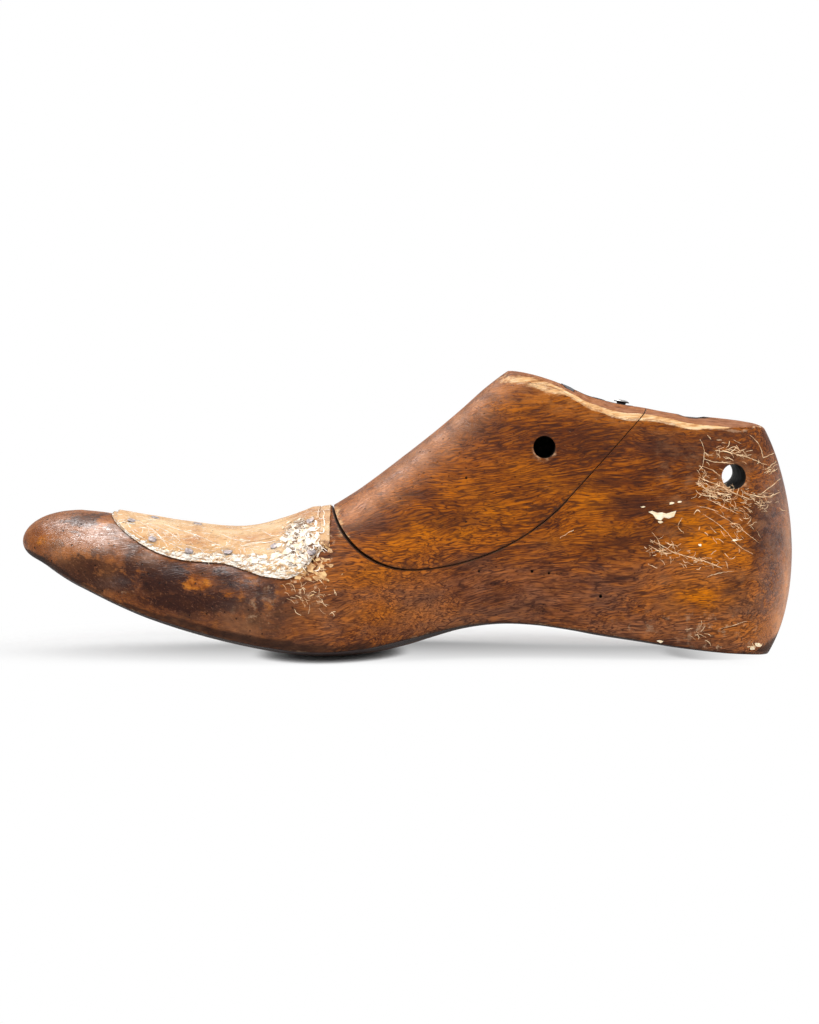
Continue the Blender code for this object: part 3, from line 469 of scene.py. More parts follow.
def spun(name, profile, sides, wobble=0.0, seed=0):
    """A closed turned mesh: (radius, height) points down its outer side, in millimetres."""
    rng = random.Random(seed)
    bm = bmesh.new()
    rings = []
    for r, z in profile:
        ring = []
        for i in range(sides if r else 1):
            a = 2 * pi * i / sides
            out = r * (1 + wobble * (rng.random() - 0.5)) if r else 0
            ring.append(bm.verts.new((out * cos(a) * MM, out * sin(a) * MM, z * MM)))
        rings.append(ring)
    hollow = profile[0][0] and profile[-1][0]
    skin(bm, rings + rings[:1] if hollow else rings)
    return mesh_from(bm, name, True)


def rod(radius, top, bottom):
    return [(0, top), (radius, top), (radius, bottom), (0, bottom)]


def place_at(point, axis, twist=0.0):
    turn = Vector(axis).to_track_quat("Z", "Y").to_matrix().to_4x4()
    return Matrix.Translation(Vector(point) * MM) @ turn @ Matrix.Rotation(twist, 4, "Z")


def top_place(from_heel, axis, twist=0.0):
    return place_at((along(from_heel), 0, top_height(from_heel)), axis, twist)


def thimble_place():
    return top_place(THIMBLE_FROM_HEEL, THIMBLE_AXIS) @ Matrix.Translation((0, 0, -THIMBLE_SUNK * MM))


def cutter(name, mesh, material, place=Matrix()):
    made = add_object(name, mesh, CUTTERS, place, material)
    made.hide_render = made.hide_viewport = True
    return made


def drill(name, profile, sides, material, place, *uneven):
    return cutter(name, spun(name, profile, sides, *uneven), material, place)


def cut(target, *tools, operation="DIFFERENCE"):
    for tool in tools:
        modifier = target.modifiers.new(tool.name, "BOOLEAN")
        modifier.operation, modifier.object, modifier.material_mode = operation, tool, "TRANSFER"


def apply_modifiers(target):
    """Replaces an object's mesh by what its modifiers make of it."""
    bpy.context.view_layer.update()
    mesh = bpy.data.meshes.new_from_object(target.evaluated_get(bpy.context.evaluated_depsgraph_get()))
    target.modifiers.clear()
    target.data = mesh


# The photograph's rays: a pixel of the photograph to the point of the last that it shows.
FORWARD = Vector((0, cos(CAMERA_ELEVATION), -sin(CAMERA_ELEVATION)))
UPWARD = Vector((0, sin(CAMERA_ELEVATION), cos(CAMERA_ELEVATION)))
EYE = AIM - FORWARD * CAMERA_DISTANCE
SURFACE = {}


def seen(px, py, surfaces=("tree",)):
    """The point of the wooden form, in metres, that the photograph shows at a pixel, and its normal."""
    across, down = (px - AIM_PIXEL[0]) / FOCAL_PIXELS, (py - AIM_PIXEL[1]) / FOCAL_PIXELS
    ray = (FORWARD + Vector((1, 0, 0)) * across - UPWARD * down).normalized()
    hits = [hit for hit in (SURFACE[name].ray_cast(EYE, ray) for name in surfaces) if hit[0]]
    return min(hits, key=lambda hit: hit[3])[:2] if hits else (None, None)


def seen_on_top(px, py):
    """The same, where the leather may lie over the wood."""
    return seen(px, py, ("tree", "leather"))


def from_side(x, z, side):
    """The point of the wooden form at an X and Z in metres, from the inner or the outer side."""
    point, normal, _, _ = SURFACE["tree"].ray_cast(Vector((x, side * 0.2, z)), Vector((0, -side, 0)))
    return (point, normal) if point else (None, None)


class Value:
    """A number or colour that a material computes. Plain numbers and colours can stand beside it."""

    def __init__(self, look, socket):
        self.look, self.socket = look, socket

    def __add__(self, other):
        return self.look.math("ADD", self, other)

    def __mul__(self, other):
        return self.look.math("MULTIPLY", self, other)

    def __sub__(self, other):
        return self.look.math("SUBTRACT", self, other)

    def __rsub__(self, other):
        return self.look.math("SUBTRACT", other, self)

    def or_more(self, other):
        return self.look.math("MAXIMUM", self, other)

    def step(self, low, high, to_low=0.0, to_high=1.0):
        """A smooth step: to_low at low and to_high at high."""
        inputs = {"Value": self, 1: low, 2: high, 3: to_low, 4: to_high}
        return self.look.add("ShaderNodeMapRange", inputs, interpolation_type="SMOOTHSTEP")["Result"]

    def ramp(self, *stops):
        ramp = self.look.add("ShaderNodeValToRGB", {"Fac": self})
        elements = ramp.node.color_ramp.elements
        for i, (at, colour) in enumerate(stops):
            element = elements[i] if i < 2 else elements.new(at)
            element.position, element.color = at, (*colour, 1)
        return ramp["Color"]

    def tinted(self, share, colour):
        return self.look.mix(share, self, colour)

    def layered(self, *layers):
        """The colour under layers of tint. Each layer is a share and a colour."""
        colour = self
        for layer in layers:
            colour = colour.tinted(*layer)
        return colour


class Node:
    """A node of a material, whose outputs are taken by name or number."""

    def __init__(self, look, node):
        self.look, self.node = look, node

    def __getitem__(self, key):
        return Value(self.look, self.node.outputs[key])


class Look:
    """Builds the nodes of one procedural material, or of the world."""

    def __init__(self, name, owners=bpy.data.materials):
        self.owner = owners.new(name)
        self.owner.use_nodes = True
        self.tree = self.owner.node_tree
        self.shader = self.tree.nodes.get("Principled BSDF")

    @cached_property
    def place(self):
        return self.add("ShaderNodeTexCoord")["Object"]

    def add(self, kind, inputs=(), **settings):
        node = self.tree.nodes.new(kind)
        for key, value in settings.items():
            setattr(node, key, value)
        for key, value in dict(inputs).items():
            self.feed(node.inputs[key], value)
        return Node(self, node)

    def feed(self, socket, value):
        if isinstance(value, Value):
            self.tree.links.new(value.socket, socket)
        else:
            socket.default_value = value

    def math(self, operation, a, b=0.0, c=0.0, clamp=False):
        return self.add("ShaderNodeMath", {0: a, 1: b, 2: c}, operation=operation, use_clamp=clamp)[0]

    def mix(self, share, a, b):
        a, b = ((*colour, 1) if isinstance(colour, tuple) else colour for colour in (a, b))
        return self.add("ShaderNodeMix", {0: share, 6: a, 7: b}, data_type="RGBA")[2]

    def scaled(self, sizes, turn=0.0, place=None, shift=(0, 0, 0)):
        """Coordinates whose unit is the sizes, in millimetres, turned about Y, and shifted."""
        moved = {"Location": tuple(s * MM for s in shift), "Rotation": (0, turn, 0)}
        turned = self.add("ShaderNodeMapping", {"Vector": place or self.place, **moved})[0]
        scale = tuple(1000 / s for s in sizes)
        return self.add("ShaderNodeMapping", {"Vector": turned, "Scale": scale})[0]

    def noise(self, sizes, detail=2.0, roughness=0.5, distortion=0.0, **placed):
        inputs = {"Vector": self.scaled(sizes, **placed), "Scale": 1.0, "Detail": detail}
        inputs.update(Roughness=roughness, Distortion=distortion)
        return self.add("ShaderNodeTexNoise", inputs)["Fac"]

    def cells(self, sizes, **placed):
        return self.add("ShaderNodeTexVoronoi", {"Vector": self.scaled(sizes, **placed), "Scale": 1.0})

    def painted(self, name):
        return self.add("ShaderNodeAttribute", attribute_name=name)["Fac"]

    def bump(self, height, distance, normal=None):
        inputs = {"Height": height, "Distance": distance * MM}
        return self.add("ShaderNodeBump", {**inputs, "Normal": normal} if normal else inputs)["Normal"]

    def surface(self, share, first, second):
        """Shows two shaders mixed."""
        both = self.add("ShaderNodeMixShader", {0: share, 1: first, 2: second})
        output = next(n for n in self.tree.nodes if n.type.startswith("OUTPUT"))
        self.feed(output.inputs["Surface"], both[0])

    def finish(self, colour, roughness, normal, gloss=0.5):
        inputs = {"Base Color": colour, "Roughness": roughness, "Normal": normal, "Specular IOR Level": gloss}
        for key, value in inputs.items():
            self.feed(self.shader.inputs[key], value)
        return self.owner


def wood_grain(look, turn=radians(6)):
    """The wood's bare figure: streaks, strokes and thin wavy dark lines. The grain runs along X."""
    sway, ripple = look.noise((46, 22, 22), 2.0), look.noise((8, 4, 4), 1.0)
    lift = (sway - 0.5) * 0.012 + (ripple - 0.5) * 0.0009
    shift = look.add("ShaderNodeCombineXYZ", {"Y": lift, "Z": lift})[0]
    bent = look.add("ShaderNodeVectorMath", {0: look.place, 1: shift}, operation="ADD")[0]
    tone = look.noise((34, 12, 10), 3.0, 0.55, turn=turn, place=bent)
    streak = look.noise((20, 2.2, 1.9), 3.0, 0.6, turn=turn, place=bent)
    stroke = look.noise((3.6, 0.62, 0.54), 2.0, 0.6, turn=turn, place=bent)
    thread = look.noise((12, 1.05, 0.92), 1.0, 0.5, turn=turn, place=bent)
    hair = look.noise((6.5, 0.62, 0.55), 1.0, 0.5, turn=turn, place=bent, shift=(3, 7, 5))
    broken = look.noise((5.0, 2.4, 2.1), 1.0, turn=turn, place=bent)
    level = tone * 0.46 + (streak * 0.32 + stroke * 0.22)
    warm = level.step(0.43, 0.57)
    colour = look.mix(warm, WOOD_BROWN, WOOD_ORANGE)
    off, thin = (look.math("ABSOLUTE", value - 0.5) for value in (thread, hair))
    light = off.step(0.07, 0.16) * level.step(0.43, 0.55, 0.15, 1.0)
    colour = colour.tinted(light * 0.5, WOOD_LIGHT)
    dash = stroke.step(0.45, 0.35) * streak.step(0.62, 0.44, 0.35, 1.0)
    lines = off.step(0.085, 0.02) * broken.step(0.36, 0.54)
    lines = lines.or_more(thin.step(0.07, 0.02) * broken.step(0.58, 0.44, 0.0, 0.75))
    return colour, (dash * 0.72).or_more(lines * 0.9)


def wood_look():
    """The last's outside: old varnished wood, worn pale on its edges and dark where it is handled."""
    look = Look("worn_last_wood")
    colour, pores = wood_grain(look)
    mottle = look.noise((6, 3.4, 3.4), 4.0, 0.6)
    cloud = look.noise((26, 20, 15), 4.0, 0.6)
    blots = look.noise((8, 5.5, 5.5), 5.0, 0.66, turn=radians(-20))
    crisp = look.noise((5.5, 2.6, 2.6), 6.0, 0.74, turn=radians(-16)) - 0.5
    fleck = look.noise((1.7, 1.1, 1.1), 4.0, 0.72, 0.8, turn=radians(-30))
    glue = look.noise((7, 7, 4.5), 5.0, 0.65)
    sawn = look.noise((14, 1.3, 0.9), 4.0, 0.62, turn=radians(6))
    ragged = look.noise((3.2, 3.2, 3.2), 3.0, 0.65)
    scuff = look.noise((16, 16, 16), 2.0)
    hairs = look.noise((14, 0.5, 0.5), 2.0, 0.7, turn=radians(-24))
    pits, nails = look.cells((2.2, 2.2, 2.2)), look.cells((8.5, 8.5, 30))
    up = look.add("ShaderNodeSeparateXYZ", {0: look.place})["Z"]
    amber, dusky, dark, grime, toe = map(look.painted, ("amber", "dusky", "dark", "grime", "toe"))
    bloom, top, bevel, halo, joint = map(look.painted, ("bloom", "top", "bevel", "halo", "joint"))
    seam, hole, scuffed, iron, fit = map(look.painted, ("seam", "hole", "scuffed", "iron", "fit"))
    sole, edge, rim, brink, gleam = map(look.painted, ("sole", "edge", "rim", "brink", "gleam"))

    dusty = up.step(0.052, 0.016) * cloud.step(0.36, 0.6, 0.35, 1.0)
    no_amber = look.math("SUBTRACT", 1.0, amber * 0.85, clamp=True)
    patch = (dark + (blots - 0.5) * 1.7).step(0.28, 0.75)
    dusk = dark * mottle.step(0.3, 0.64, 0.62, 0.28) + patch * 0.36
    glint = toe.or_more(grime)
    stain = (dark + crisp * 1.9).step(0.4, 0.62)
    ember = (amber + crisp * -1.5).step(0.42, 0.66)
    fade = 1.0 - (toe * 0.75).or_more(grime * 0.7)
    pit_kept = look.add("ShaderNodeSeparateColor", {0: pits["Color"]})[0].step(0.62, 0.68)
    pit = pits["Distance"].step(0.2, 0.11) * pit_kept
    film = look.painted("film") * no_amber
    bare = (bevel + crisp * 2.0).step(0.3, 0.95)
    below_bevel = halo * (mottle + crisp).step(0.36, 0.6, 0.1, 1.0)
    bevel_colour = sawn.ramp(
        (0.33, (0.48, 0.22, 0.08)), (0.43, (0.64, 0.345, 0.145)), (0.53, (0.8, 0.5, 0.245)),
        (0.66, (0.91, 0.67, 0.41)),
    )
    edge_worn = (edge - (ragged - 0.5) * 2.4).step(0.55, 0.11) * scuff.step(0.5, 0.62)
    rim_worn = (rim - (ragged - 0.5) * 2.4).step(0.5, 0.1) * scuff.step(0.36, 0.52)
    rims = (edge_worn * 0.75).or_more(rim_worn)
    rims = rims.or_more(joint.step(0.38, 0.12) * seam * ragged.step(0.38, 0.62, 0.1, 0.5))
    rims = rims.or_more(hole * ragged.step(0.42, 0.62, 0.1, 0.8))
    rims = rims.or_more(scuffed * ragged.step(0.54, 0.68))
    # Painted shadow: a thin dark line on the wood along the leather's edge.
    leather_edge_shadow = fit.step(0.95, 0.3) * ragged.step(0.3, 0.55, 0.6, 1.0)
    nailed = nails["Distance"].step(0.12, 0.07) * (edge.step(5, 7) * edge.step(17, 13)) * sole
    scratch = hairs.step(0.66, 0.72) * scuff.step(0.5, 0.62)
    colour = colour.layered(
        (cloud.step(0.52, 0.68) * 0.5, (0.092, 0.03, 0.014)),
        (amber * mottle.step(0.34, 0.58, 0.3, 1.0) * 0.82, (0.58, 0.165, 0.003)),
        (dusty * no_amber * 0.2, (0.46, 0.27, 0.18)),
        (up.step(0.05, 0.086, 0.0, 0.22), (0.085, 0.022, 0.005)),
        (dusky * 0.66, mottle.ramp(
            (0.36, (0.058, 0.021, 0.014)), (0.52, (0.155, 0.056, 0.03)), (0.66, (0.27, 0.103, 0.05)),
        )),
        (dusk * 0.85, (0.038, 0.0125, 0.0075)),
        (grime * 0.8, blots.ramp(
            (0.38, (0.01, 0.006, 0.006)), (0.46, (0.032, 0.013, 0.01)), (0.52, (0.075, 0.026, 0.014)),
            (0.58, (0.14, 0.044, 0.014)), (0.66, (0.28, 0.09, 0.014)),
        )),
        (toe * 0.72, (cloud * 0.62 + (crisp + 0.5) * 0.38).ramp(
            (0.36, (0.045, 0.016, 0.01)), (0.45, (0.13, 0.042, 0.016)), (0.54, (0.25, 0.088, 0.026)),
            (0.63, (0.38, 0.15, 0.048)),
        )),
        (stain * glint * 0.9, (0.03, 0.0105, 0.0075)),
        (ember * glint * 0.66, blots.ramp(
            (0.4, (0.2, 0.05, 0.006)), (0.5, (0.38, 0.105, 0.006)), (0.6, (0.54, 0.185, 0.018)),
        )),
        (fleck.step(0.56, 0.66) * glint * 0.3, (0.4, 0.17, 0.085)),
        (fleck.step(0.42, 0.34) * glint * 0.6, (0.014, 0.008, 0.007)),
        (pores * fade * 0.82, (0.026, 0.011, 0.009)),
        # Painted highlight: a pale warm sheen painted on the block's ridge, the toe and the heel's edge.
        (bloom * mottle.step(0.3, 0.62, 0.45, 1.0) * 0.56, (0.6, 0.25, 0.095)),
        (pit * glint.step(0, 1, 0.4, 0.85), (0.014, 0.007, 0.006)),
        (film * glue.step(0.42, 0.68, 0.0, 0.36), (0.3, 0.135, 0.06)),
        (top * mottle.step(0.6, 0.75, 0.92, 0.5), sawn.ramp(
            (0.34, (0.15, 0.055, 0.028)), (0.48, (0.28, 0.115, 0.058)), (0.62, (0.4, 0.185, 0.1)),
        )),
        (below_bevel * 0.5, bevel_colour.tinted(0.88, (0.4, 0.11, 0.004))),
        (bare * 0.86, bevel_colour),
        (rims, ragged.ramp(
            (0.35, (0.26, 0.105, 0.045)), (0.52, (0.44, 0.235, 0.12)), (0.68, (0.66, 0.46, 0.29)),
        )),
        (joint.step(0.36, 0.18) * 0.9, (0.01, 0.006, 0.005)),
        # Painted shade: a dark ring on the wood round the sunk thimble, where its gap lies in shade.
        (iron * ragged.step(0.34, 0.52, 0.5, 0.95), (0.018, 0.017, 0.021)),
        (leather_edge_shadow * 0.9, (0.016, 0.008, 0.006)),
        # The sole is darkened nearly black: partly dirt, partly painted shade on faces that turn down.
        (sole * 0.85, glue.ramp(
            (0.3, (0.012, 0.007, 0.006)), (0.55, (0.045, 0.02, 0.012)), (0.75, (0.12, 0.056, 0.029)),
        )),
        (nailed, (0.008, 0.005, 0.004)),
        (scratch * 0.3, (0.4, 0.21, 0.11)),
        # Painted shade: faces that turn down near the sole's edge are darkened nearly black.
        (brink * 0.88, (0.012, 0.008, 0.008)),
    )

    normal = None
    for height, distance in (
        (pores * -0.8 + mottle * 0.6, 0.10), (pit * -1.0 + nailed * -2.0, 0.35),
        (glue * (film + sole * 0.6), 0.3), (blots * grime, 0.45), (rims * -1.0, 0.25),
    ):
        normal = look.bump(height, distance, normal)
    dull = (top * 0.9).or_more(rims.or_more(bare)).or_more(sole * 0.8)
    shine = mottle.step(0.25, 0.7, 0.32, 0.46) + pores * 0.12 - glint * 0.06
    sparkle = crisp.step(-0.13, 0.1, 0.4, 1.05) * fleck.step(0.36, 0.6, 0.55, 1.15)
    varnish = (bloom * 0.1).or_more(glint * 0.02).or_more(gleam * sparkle)
    return look.finish(colour, shine.or_more(dull * 0.68), normal, varnish + 0.031)


def sawn_look():
    """The faces of the scoop's cut: paler, with the saw's marks and old grease."""
    look = Look("sawn_joint_wood")
    bare, pores = wood_grain(look)
    grease = look.noise((18, 18, 18), 4.0, 0.6)
    colour = bare.tinted(0.5, (0.38, 0.19, 0.088))
    colour = colour.tinted(grease.step(0.4, 0.68, 0.1, 0.65), (0.075, 0.032, 0.018))
    kerfs = look.noise((1.1, 60, 1.1), 2.0, 0.5)
    height = kerfs * 0.8 + pores * -0.5
    colour = colour.tinted(pores * 0.5, (0.05, 0.024, 0.02))
    return look.finish(colour, grease.step(0.3, 0.7, 0.72, 0.48), look.bump(height, 0.14))


def shaded_bore_look():
    """Inside the holes: drilled wood, darkened nearly black as painted shade."""
    look = Look("shaded_bore_wood")
    rings = look.noise((1.4, 0.9, 1.4), 3.0, 0.6)
    dust = look.noise((5, 5, 5), 3.0, 0.6)
    colour = rings.ramp(
        (0.3, (0.01, 0.008, 0.007)), (0.55, (0.026, 0.019, 0.015)), (0.75, (0.055, 0.04, 0.03))
    )
    colour = colour.tinted(dust.step(0.6, 0.78, 0.0, 0.35), (0.12, 0.1, 0.085))
    return look.finish(colour, dust.step(0.3, 0.7, 0.62, 0.85), look.bump(rings, 0.12), 0.1)


def leather_look(name, paleness):
    """Tan fitting leather: whitened where it is scuffed, scratched, stained, with a fine grain."""
    look = Look(name)
    grain, specks = look.cells((0.8, 0.8, 0.8)), look.cells((1.9, 1.9, 1.9), shift=(4, 8, 2))
    fine = look.noise((1.6, 1.6, 1.6), 4.0, 0.65)
    swirl = look.noise((15, 1.0, 1.0), 3.0, 0.65, 0.9, turn=radians(14))
    nick = look.noise((4.5, 0.5, 0.5), 2.0, 0.7, 1.6, turn=radians(32))
    stain = look.noise((5.5, 3.4, 3.4), 4.0, 0.6, shift=(9, 4, 2)).step(0.6, 0.74)
    ragged = look.noise((4.2, 1.3, 1.3), 5.0, 0.74, turn=radians(-12))
    holes_in = look.noise((2.6, 1.0, 1.0), 3.0, 0.72, turn=radians(20))
    white, torn, soil, rust, edge = map(look.painted, ("white", "torn", "soiled", "rust", "edge"))
    lines, cracks = swirl.step(0.585, 0.625), swirl.step(0.385, 0.34)
    whitened = (white + (ragged - 0.5) * 3.9).step(0.55, 0.9)
    soiled = (soil + (ragged - 0.5) * 1.6).step(0.35, 0.65)
    speck_kept = look.add("ShaderNodeSeparateColor", {0: specks["Color"]})[1].step(0.88, 0.92)
    colour = look.noise((18, 12, 12), 5.0, 0.62).ramp(
        (0.32, (0.44, 0.19, 0.065)), (0.44, (0.56, 0.305, 0.125)), (0.55, (0.64, 0.395, 0.19)),
        (0.68, (0.72, 0.5, 0.29)),
    ).layered(
        (paleness, (0.7, 0.51, 0.33)),
        (lines * 0.7, (0.92, 0.83, 0.69)),
        (nick.step(0.64, 0.68) * 0.75, (0.94, 0.87, 0.76)),
        (cracks * 0.5, (0.36, 0.16, 0.055)),
        (stain * 0.55, (0.34, 0.15, 0.055)),
        (whitened * 0.95, (0.96, 0.91, 0.82)),
        (whitened * holes_in.step(0.53, 0.6) * 0.8, (0.62, 0.33, 0.13)),
        (whitened * holes_in.step(0.36, 0.31) * 0.7, (0.2, 0.095, 0.045)),
        (torn * ragged.step(0.5, 0.43) * 0.88, (0.15, 0.07, 0.03)),
        (soiled * 0.94, fine.ramp((0.35, (0.13, 0.05, 0.02)), (0.65, (0.3, 0.135, 0.055)))),
        (specks["Distance"].step(0.24, 0.14) * speck_kept * 0.8, (0.1, 0.05, 0.025)),
        (rust * fine.step(0.3, 0.7, 0.7, 0.15), (0.16, 0.1, 0.07)),
        (edge.step(0.32, 0.28) * holes_in.step(0.5, 0.58, 0.05, 0.75), (0.3, 0.15, 0.062)),
    )
    normal = look.bump(grain["Distance"] * 0.35 + fine * 0.9, 0.14)
    normal = look.bump(lines * 0.5 + cracks * -1.0, 0.22, normal)
    normal = look.bump(ragged * (whitened + torn), 0.45, normal)
    return look.finish(colour, fine.step(0.3, 0.7, 0.52, 0.78), normal, 0.2)


def steel_look(name, dark, bright, rust_level, roughness, crown=False):
    """Old steel: blue-grey, freckled with rust, and rubbed bright on the high places. With crown, painted
    shade darkens every face that does not turn up.
    """
    look = Look(name)
    cloud = look.noise((2.8, 2.8, 2.8), 5.0, 0.65)
    fine = look.noise((0.5, 0.5, 0.5), 3.0, 0.6)
    colour = look.mix(cloud.step(0.35, 0.66), dark, bright)
    # Painted shade: faces not turned up are darkened nearly black, so only the top of the head stays bright.
    if crown:
        facing = look.add("ShaderNodeNewGeometry")["Normal"]
        upward = look.add("ShaderNodeSeparateXYZ", {0: facing})["Z"]
        colour = colour.tinted(upward.step(0.9, 0.7), (0.022, 0.02, 0.022))
    rusty = (cloud * 0.5 + fine * 0.5).step(0.53, 0.62) * rust_level
    colour = colour.tinted(rusty, (0.125, 0.05, 0.022))
    metal = 1.0 - rusty * 0.85
    look.feed(look.shader.inputs["Metallic"], metal)
    rough = cloud.step(0.3, 0.7, roughness, roughness + 0.16) + rusty * 0.3
    return look.finish(colour, rough, look.bump(cloud + fine * 0.5, 0.1))


def thread_look(name, colour, other):
    """Dried glue, paper fibre and frayed leather."""
    look = Look(name)
    fine = look.noise((2.2, 2.2, 2.2), 4.0, 0.6)
    tint = look.mix(fine.step(0.38, 0.62), colour, other)
    return look.finish(tint, fine.step(0.3, 0.7, 0.45, 0.75), look.bump(fine, 0.08))


def peg_look():
    look = Look("peg_wood")
    bare, pores = wood_grain(look, radians(75))
    colour = bare.tinted(0.6, (0.42, 0.24, 0.11))
    colour = colour.tinted(pores * 0.4, (0.09, 0.045, 0.03))
    return look.finish(colour, pores.step(0, 1, 0.55, 0.75), look.bump(pores, 0.08))


def dress(made, body, nodes=(), angle=HARD_EDGE):
    """Smooths a finished object, says what it rides on and hides the parts it replaces."""
    made.data.shade_smooth()
    made.data.set_sharp_from_angle(angle=angle)
    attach(made, body)
    if nodes:
        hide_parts(*nodes)


def finish_piece(name, mesh, material, body, nodes=(), angle=SOFT_EDGE, place=Matrix()):
    dress(add_object(name, mesh, place=place, material=material), body, nodes, angle)


def paint(mesh, **fields):
    for name, values in fields.items():
        attribute = mesh.attributes.new(name, "FLOAT", "POINT")
        attribute.data.foreach_set("value", np.asarray(values, np.float32))


def points_of(mesh):
    co = np.empty(len(mesh.vertices) * 3, np.float64)
    mesh.vertices.foreach_get("co", co)
    return co.reshape(-1, 3) / MM


def nearest(points, targets):
    """The distance from each point to the nearest of the targets."""
    best = np.full(len(points), 1e9)
    for i in range(0, len(points), 4000):
        part = points[i : i + 4000]
        gaps = ((part[:, None, :] - targets[None, :, :]) ** 2).sum(2)
        best[i : i + 4000] = np.sqrt(gaps.min(1))
    return best


def joint_distance(points):
    """How far each point is from the scoop's outline, in X and Z."""
    outline = np.array(scoop_outline(0, 90)[:-2])
    flat = points[:, [0, 2]]
    best = np.full(len(points), 1e9)
    for a, b in zip(outline, outline[1:]):
        t = np.clip(((flat - a) @ (b - a)) / max((b - a) @ (b - a), 1e-9), 0, 1)
        best = np.minimum(best, np.linalg.norm(flat - a - t[:, None] * (b - a), axis=1))
    return best


# Stains on the side that faces the camera: (pixel across, pixel down, half width, half height, amount).
DARK_STAINS = (
    (164, 576, 26, 18, 1.0), (148, 562, 14, 12, 0.9), (131, 564, 8, 22, 0.85), (195, 603, 60, 11, 1.0),
    (258, 600, 4, 20, 0.9), (112, 582, 30, 11, 1.0), (80, 566, 34, 12, 1.0), (88, 578, 26, 8, 0.9),
    (76, 532, 11, 2.5, 0.7), (240, 590, 24, 10, 0.5), (96, 590, 26, 6, 0.5), (222, 572, 16, 9, 0.6),
    (758, 524, 14, 38, 0.9), (772, 552, 11, 30, 0.7), (736, 585, 12, 16, 0.7), (751, 560, 8, 16, 0.5),
    (603, 556, 16, 8, 0.75), (628, 541, 26, 6, 0.75), (616, 577, 24, 8, 0.6), (610, 550, 42, 18, 0.65),
    (668, 450, 44, 24, 0.75), (648, 478, 26, 18, 0.45), (616, 500, 40, 26, 0.42), (690, 480, 20, 22, 0.3),
    (600, 446, 46, 24, 0.62), (500, 430, 40, 16, 0.50), (370, 516, 8, 14, 0.6), (386, 499, 10, 9, 0.5),
    (504, 430, 18, 5, 0.5), (470, 566, 26, 3, 0.55), (560, 588, 30, 8, 0.4), (524, 608, 50, 10, 0.5),
    (600, 470, 8, 4, 0.6), (438, 557, 5, 5, 0.8), (407, 563, 4, 3, 0.8), (403, 577, 3, 6, 0.6),
    (431, 546, 4, 4, 0.5), (600, 618, 60, 10, 0.3), (104, 517, 12, 4, 0.8), (56, 546, 10, 9, 0.7),
    (46, 557, 9, 5, 0.6), (128, 530, 8, 8, 0.8), (100, 552, 26, 7, 0.6), (84, 521, 30, 8, 0.8),
    (112, 532, 14, 12, 0.6), (138, 546, 8, 5, 0.7), (66, 572, 14, 4, 0.7), (108, 566, 16, 6, 0.8),
    (232, 583, 9, 7, 0.7), (270, 592, 8, 14, 0.6), (212, 562, 18, 2.5, 0.8), (286, 606, 12, 10, 0.4),
    (250, 606, 40, 10, 0.45), (180, 592, 30, 14, 0.5),
)
AMBER_STAINS = (
    (712, 544, 32, 20, 1.3), (742, 560, 16, 14, 1.0), (690, 524, 24, 12, 1.0), (700, 596, 38, 18, 1.2),
    (734, 628, 34, 12, 0.6), (62, 560, 12, 6, 0.4), (132, 571, 10, 5, 0.3), (228, 596, 12, 6, 0.45),
    (250, 582, 7, 8, 0.5), (284, 586, 9, 6, 0.5), (590, 500, 20, 15, 0.8), (548, 482, 18, 10, 0.6),
    (520, 468, 18, 12, 0.5), (460, 535, 30, 8, 0.8), (424, 530, 24, 14, 0.7), (500, 512, 34, 12, 0.7),
    (378, 500, 26, 8, 0.4), (398, 546, 24, 12, 0.7), (552, 400, 26, 7, 0.7), (510, 408, 24, 9, 0.6),
    (106, 520, 9, 9, 0.9), (196, 583, 15, 8, 1.0), (212, 596, 14, 7, 0.5), (90, 559, 12, 4, 0.3),
    (372, 576, 44, 12, 0.6), (610, 530, 34, 6, 0.6), (560, 540, 20, 8, 0.5), (306, 612, 26, 16, 0.4),
    (44, 536, 12, 14, 0.6), (385, 612, 50, 14, 0.5), (470, 490, 30, 12, 0.4),
)
DUSKY_STAINS = (
    (500, 588, 74, 20, 0.9), (556, 606, 52, 18, 0.8), (640, 632, 70, 14, 0.6), (420, 626, 50, 10, 0.35),
    (240, 626, 30, 20, 0.9), (200, 618, 46, 12, 0.6), (664, 446, 40, 14, 0.35), (764, 540, 14, 40, 0.5),
    (372, 512, 16, 16, 0.7), (470, 446, 40, 26, 0.35), (130, 588, 60, 10, 0.4), (276, 600, 18, 24, 0.4),
)
# Painted sheen: spots where a pale warm highlight is painted into the wood's colour and the varnish is also
# glossier.
SHEEN_AND_GLOSS_SPOTS = (
    (352, 512, 12, 12, 0.7), (366, 500, 14, 14, 0.8), (384, 486, 15, 15, 0.9), (402, 470, 16, 16, 0.95),
    (420, 454, 16, 16, 1.0), (440, 438, 16, 16, 1.0), (460, 420, 15, 15, 0.95), (478, 404, 14, 14, 0.9),
    (496, 390, 14, 12, 0.8), (514, 382, 14, 8, 0.6), (100, 538, 36, 14, 0.6), (150, 552, 18, 10, 0.5),
    (244, 628, 20, 14, 0.4), (786, 592, 6, 34, 1.8), (778, 624, 8, 20, 1.8), (62, 545, 18, 18, 0.6),
    (788, 540, 5, 40, 0.9), (768, 634, 14, 14, 0.6),
)
SCUFFS = (
    (300, 590, 22, 12, 0.9), (318, 572, 12, 10, 0.9), (262, 612, 18, 10, 0.5), (330, 548, 6, 16, 0.7),
    (722, 645, 22, 4, 0.8), (636, 629, 8, 3, 0.7), (100, 590, 26, 4, 0.4), (735, 487, 9, 3, 0.7),
    (700, 628, 60, 12, 0.35),
)
PALE_EDGES = (
    (499, 382, 8, 5, 0.5), (508, 378, 12, 4, 0.9), (522, 380, 16, 4, 1.0), (540, 385, 16, 4, 0.9),
    (556, 391, 14, 4.5, 0.8), (337, 512, 4, 9, 0.8), (341, 526, 4, 9, 0.7), (347, 537, 4, 7, 0.5),
)
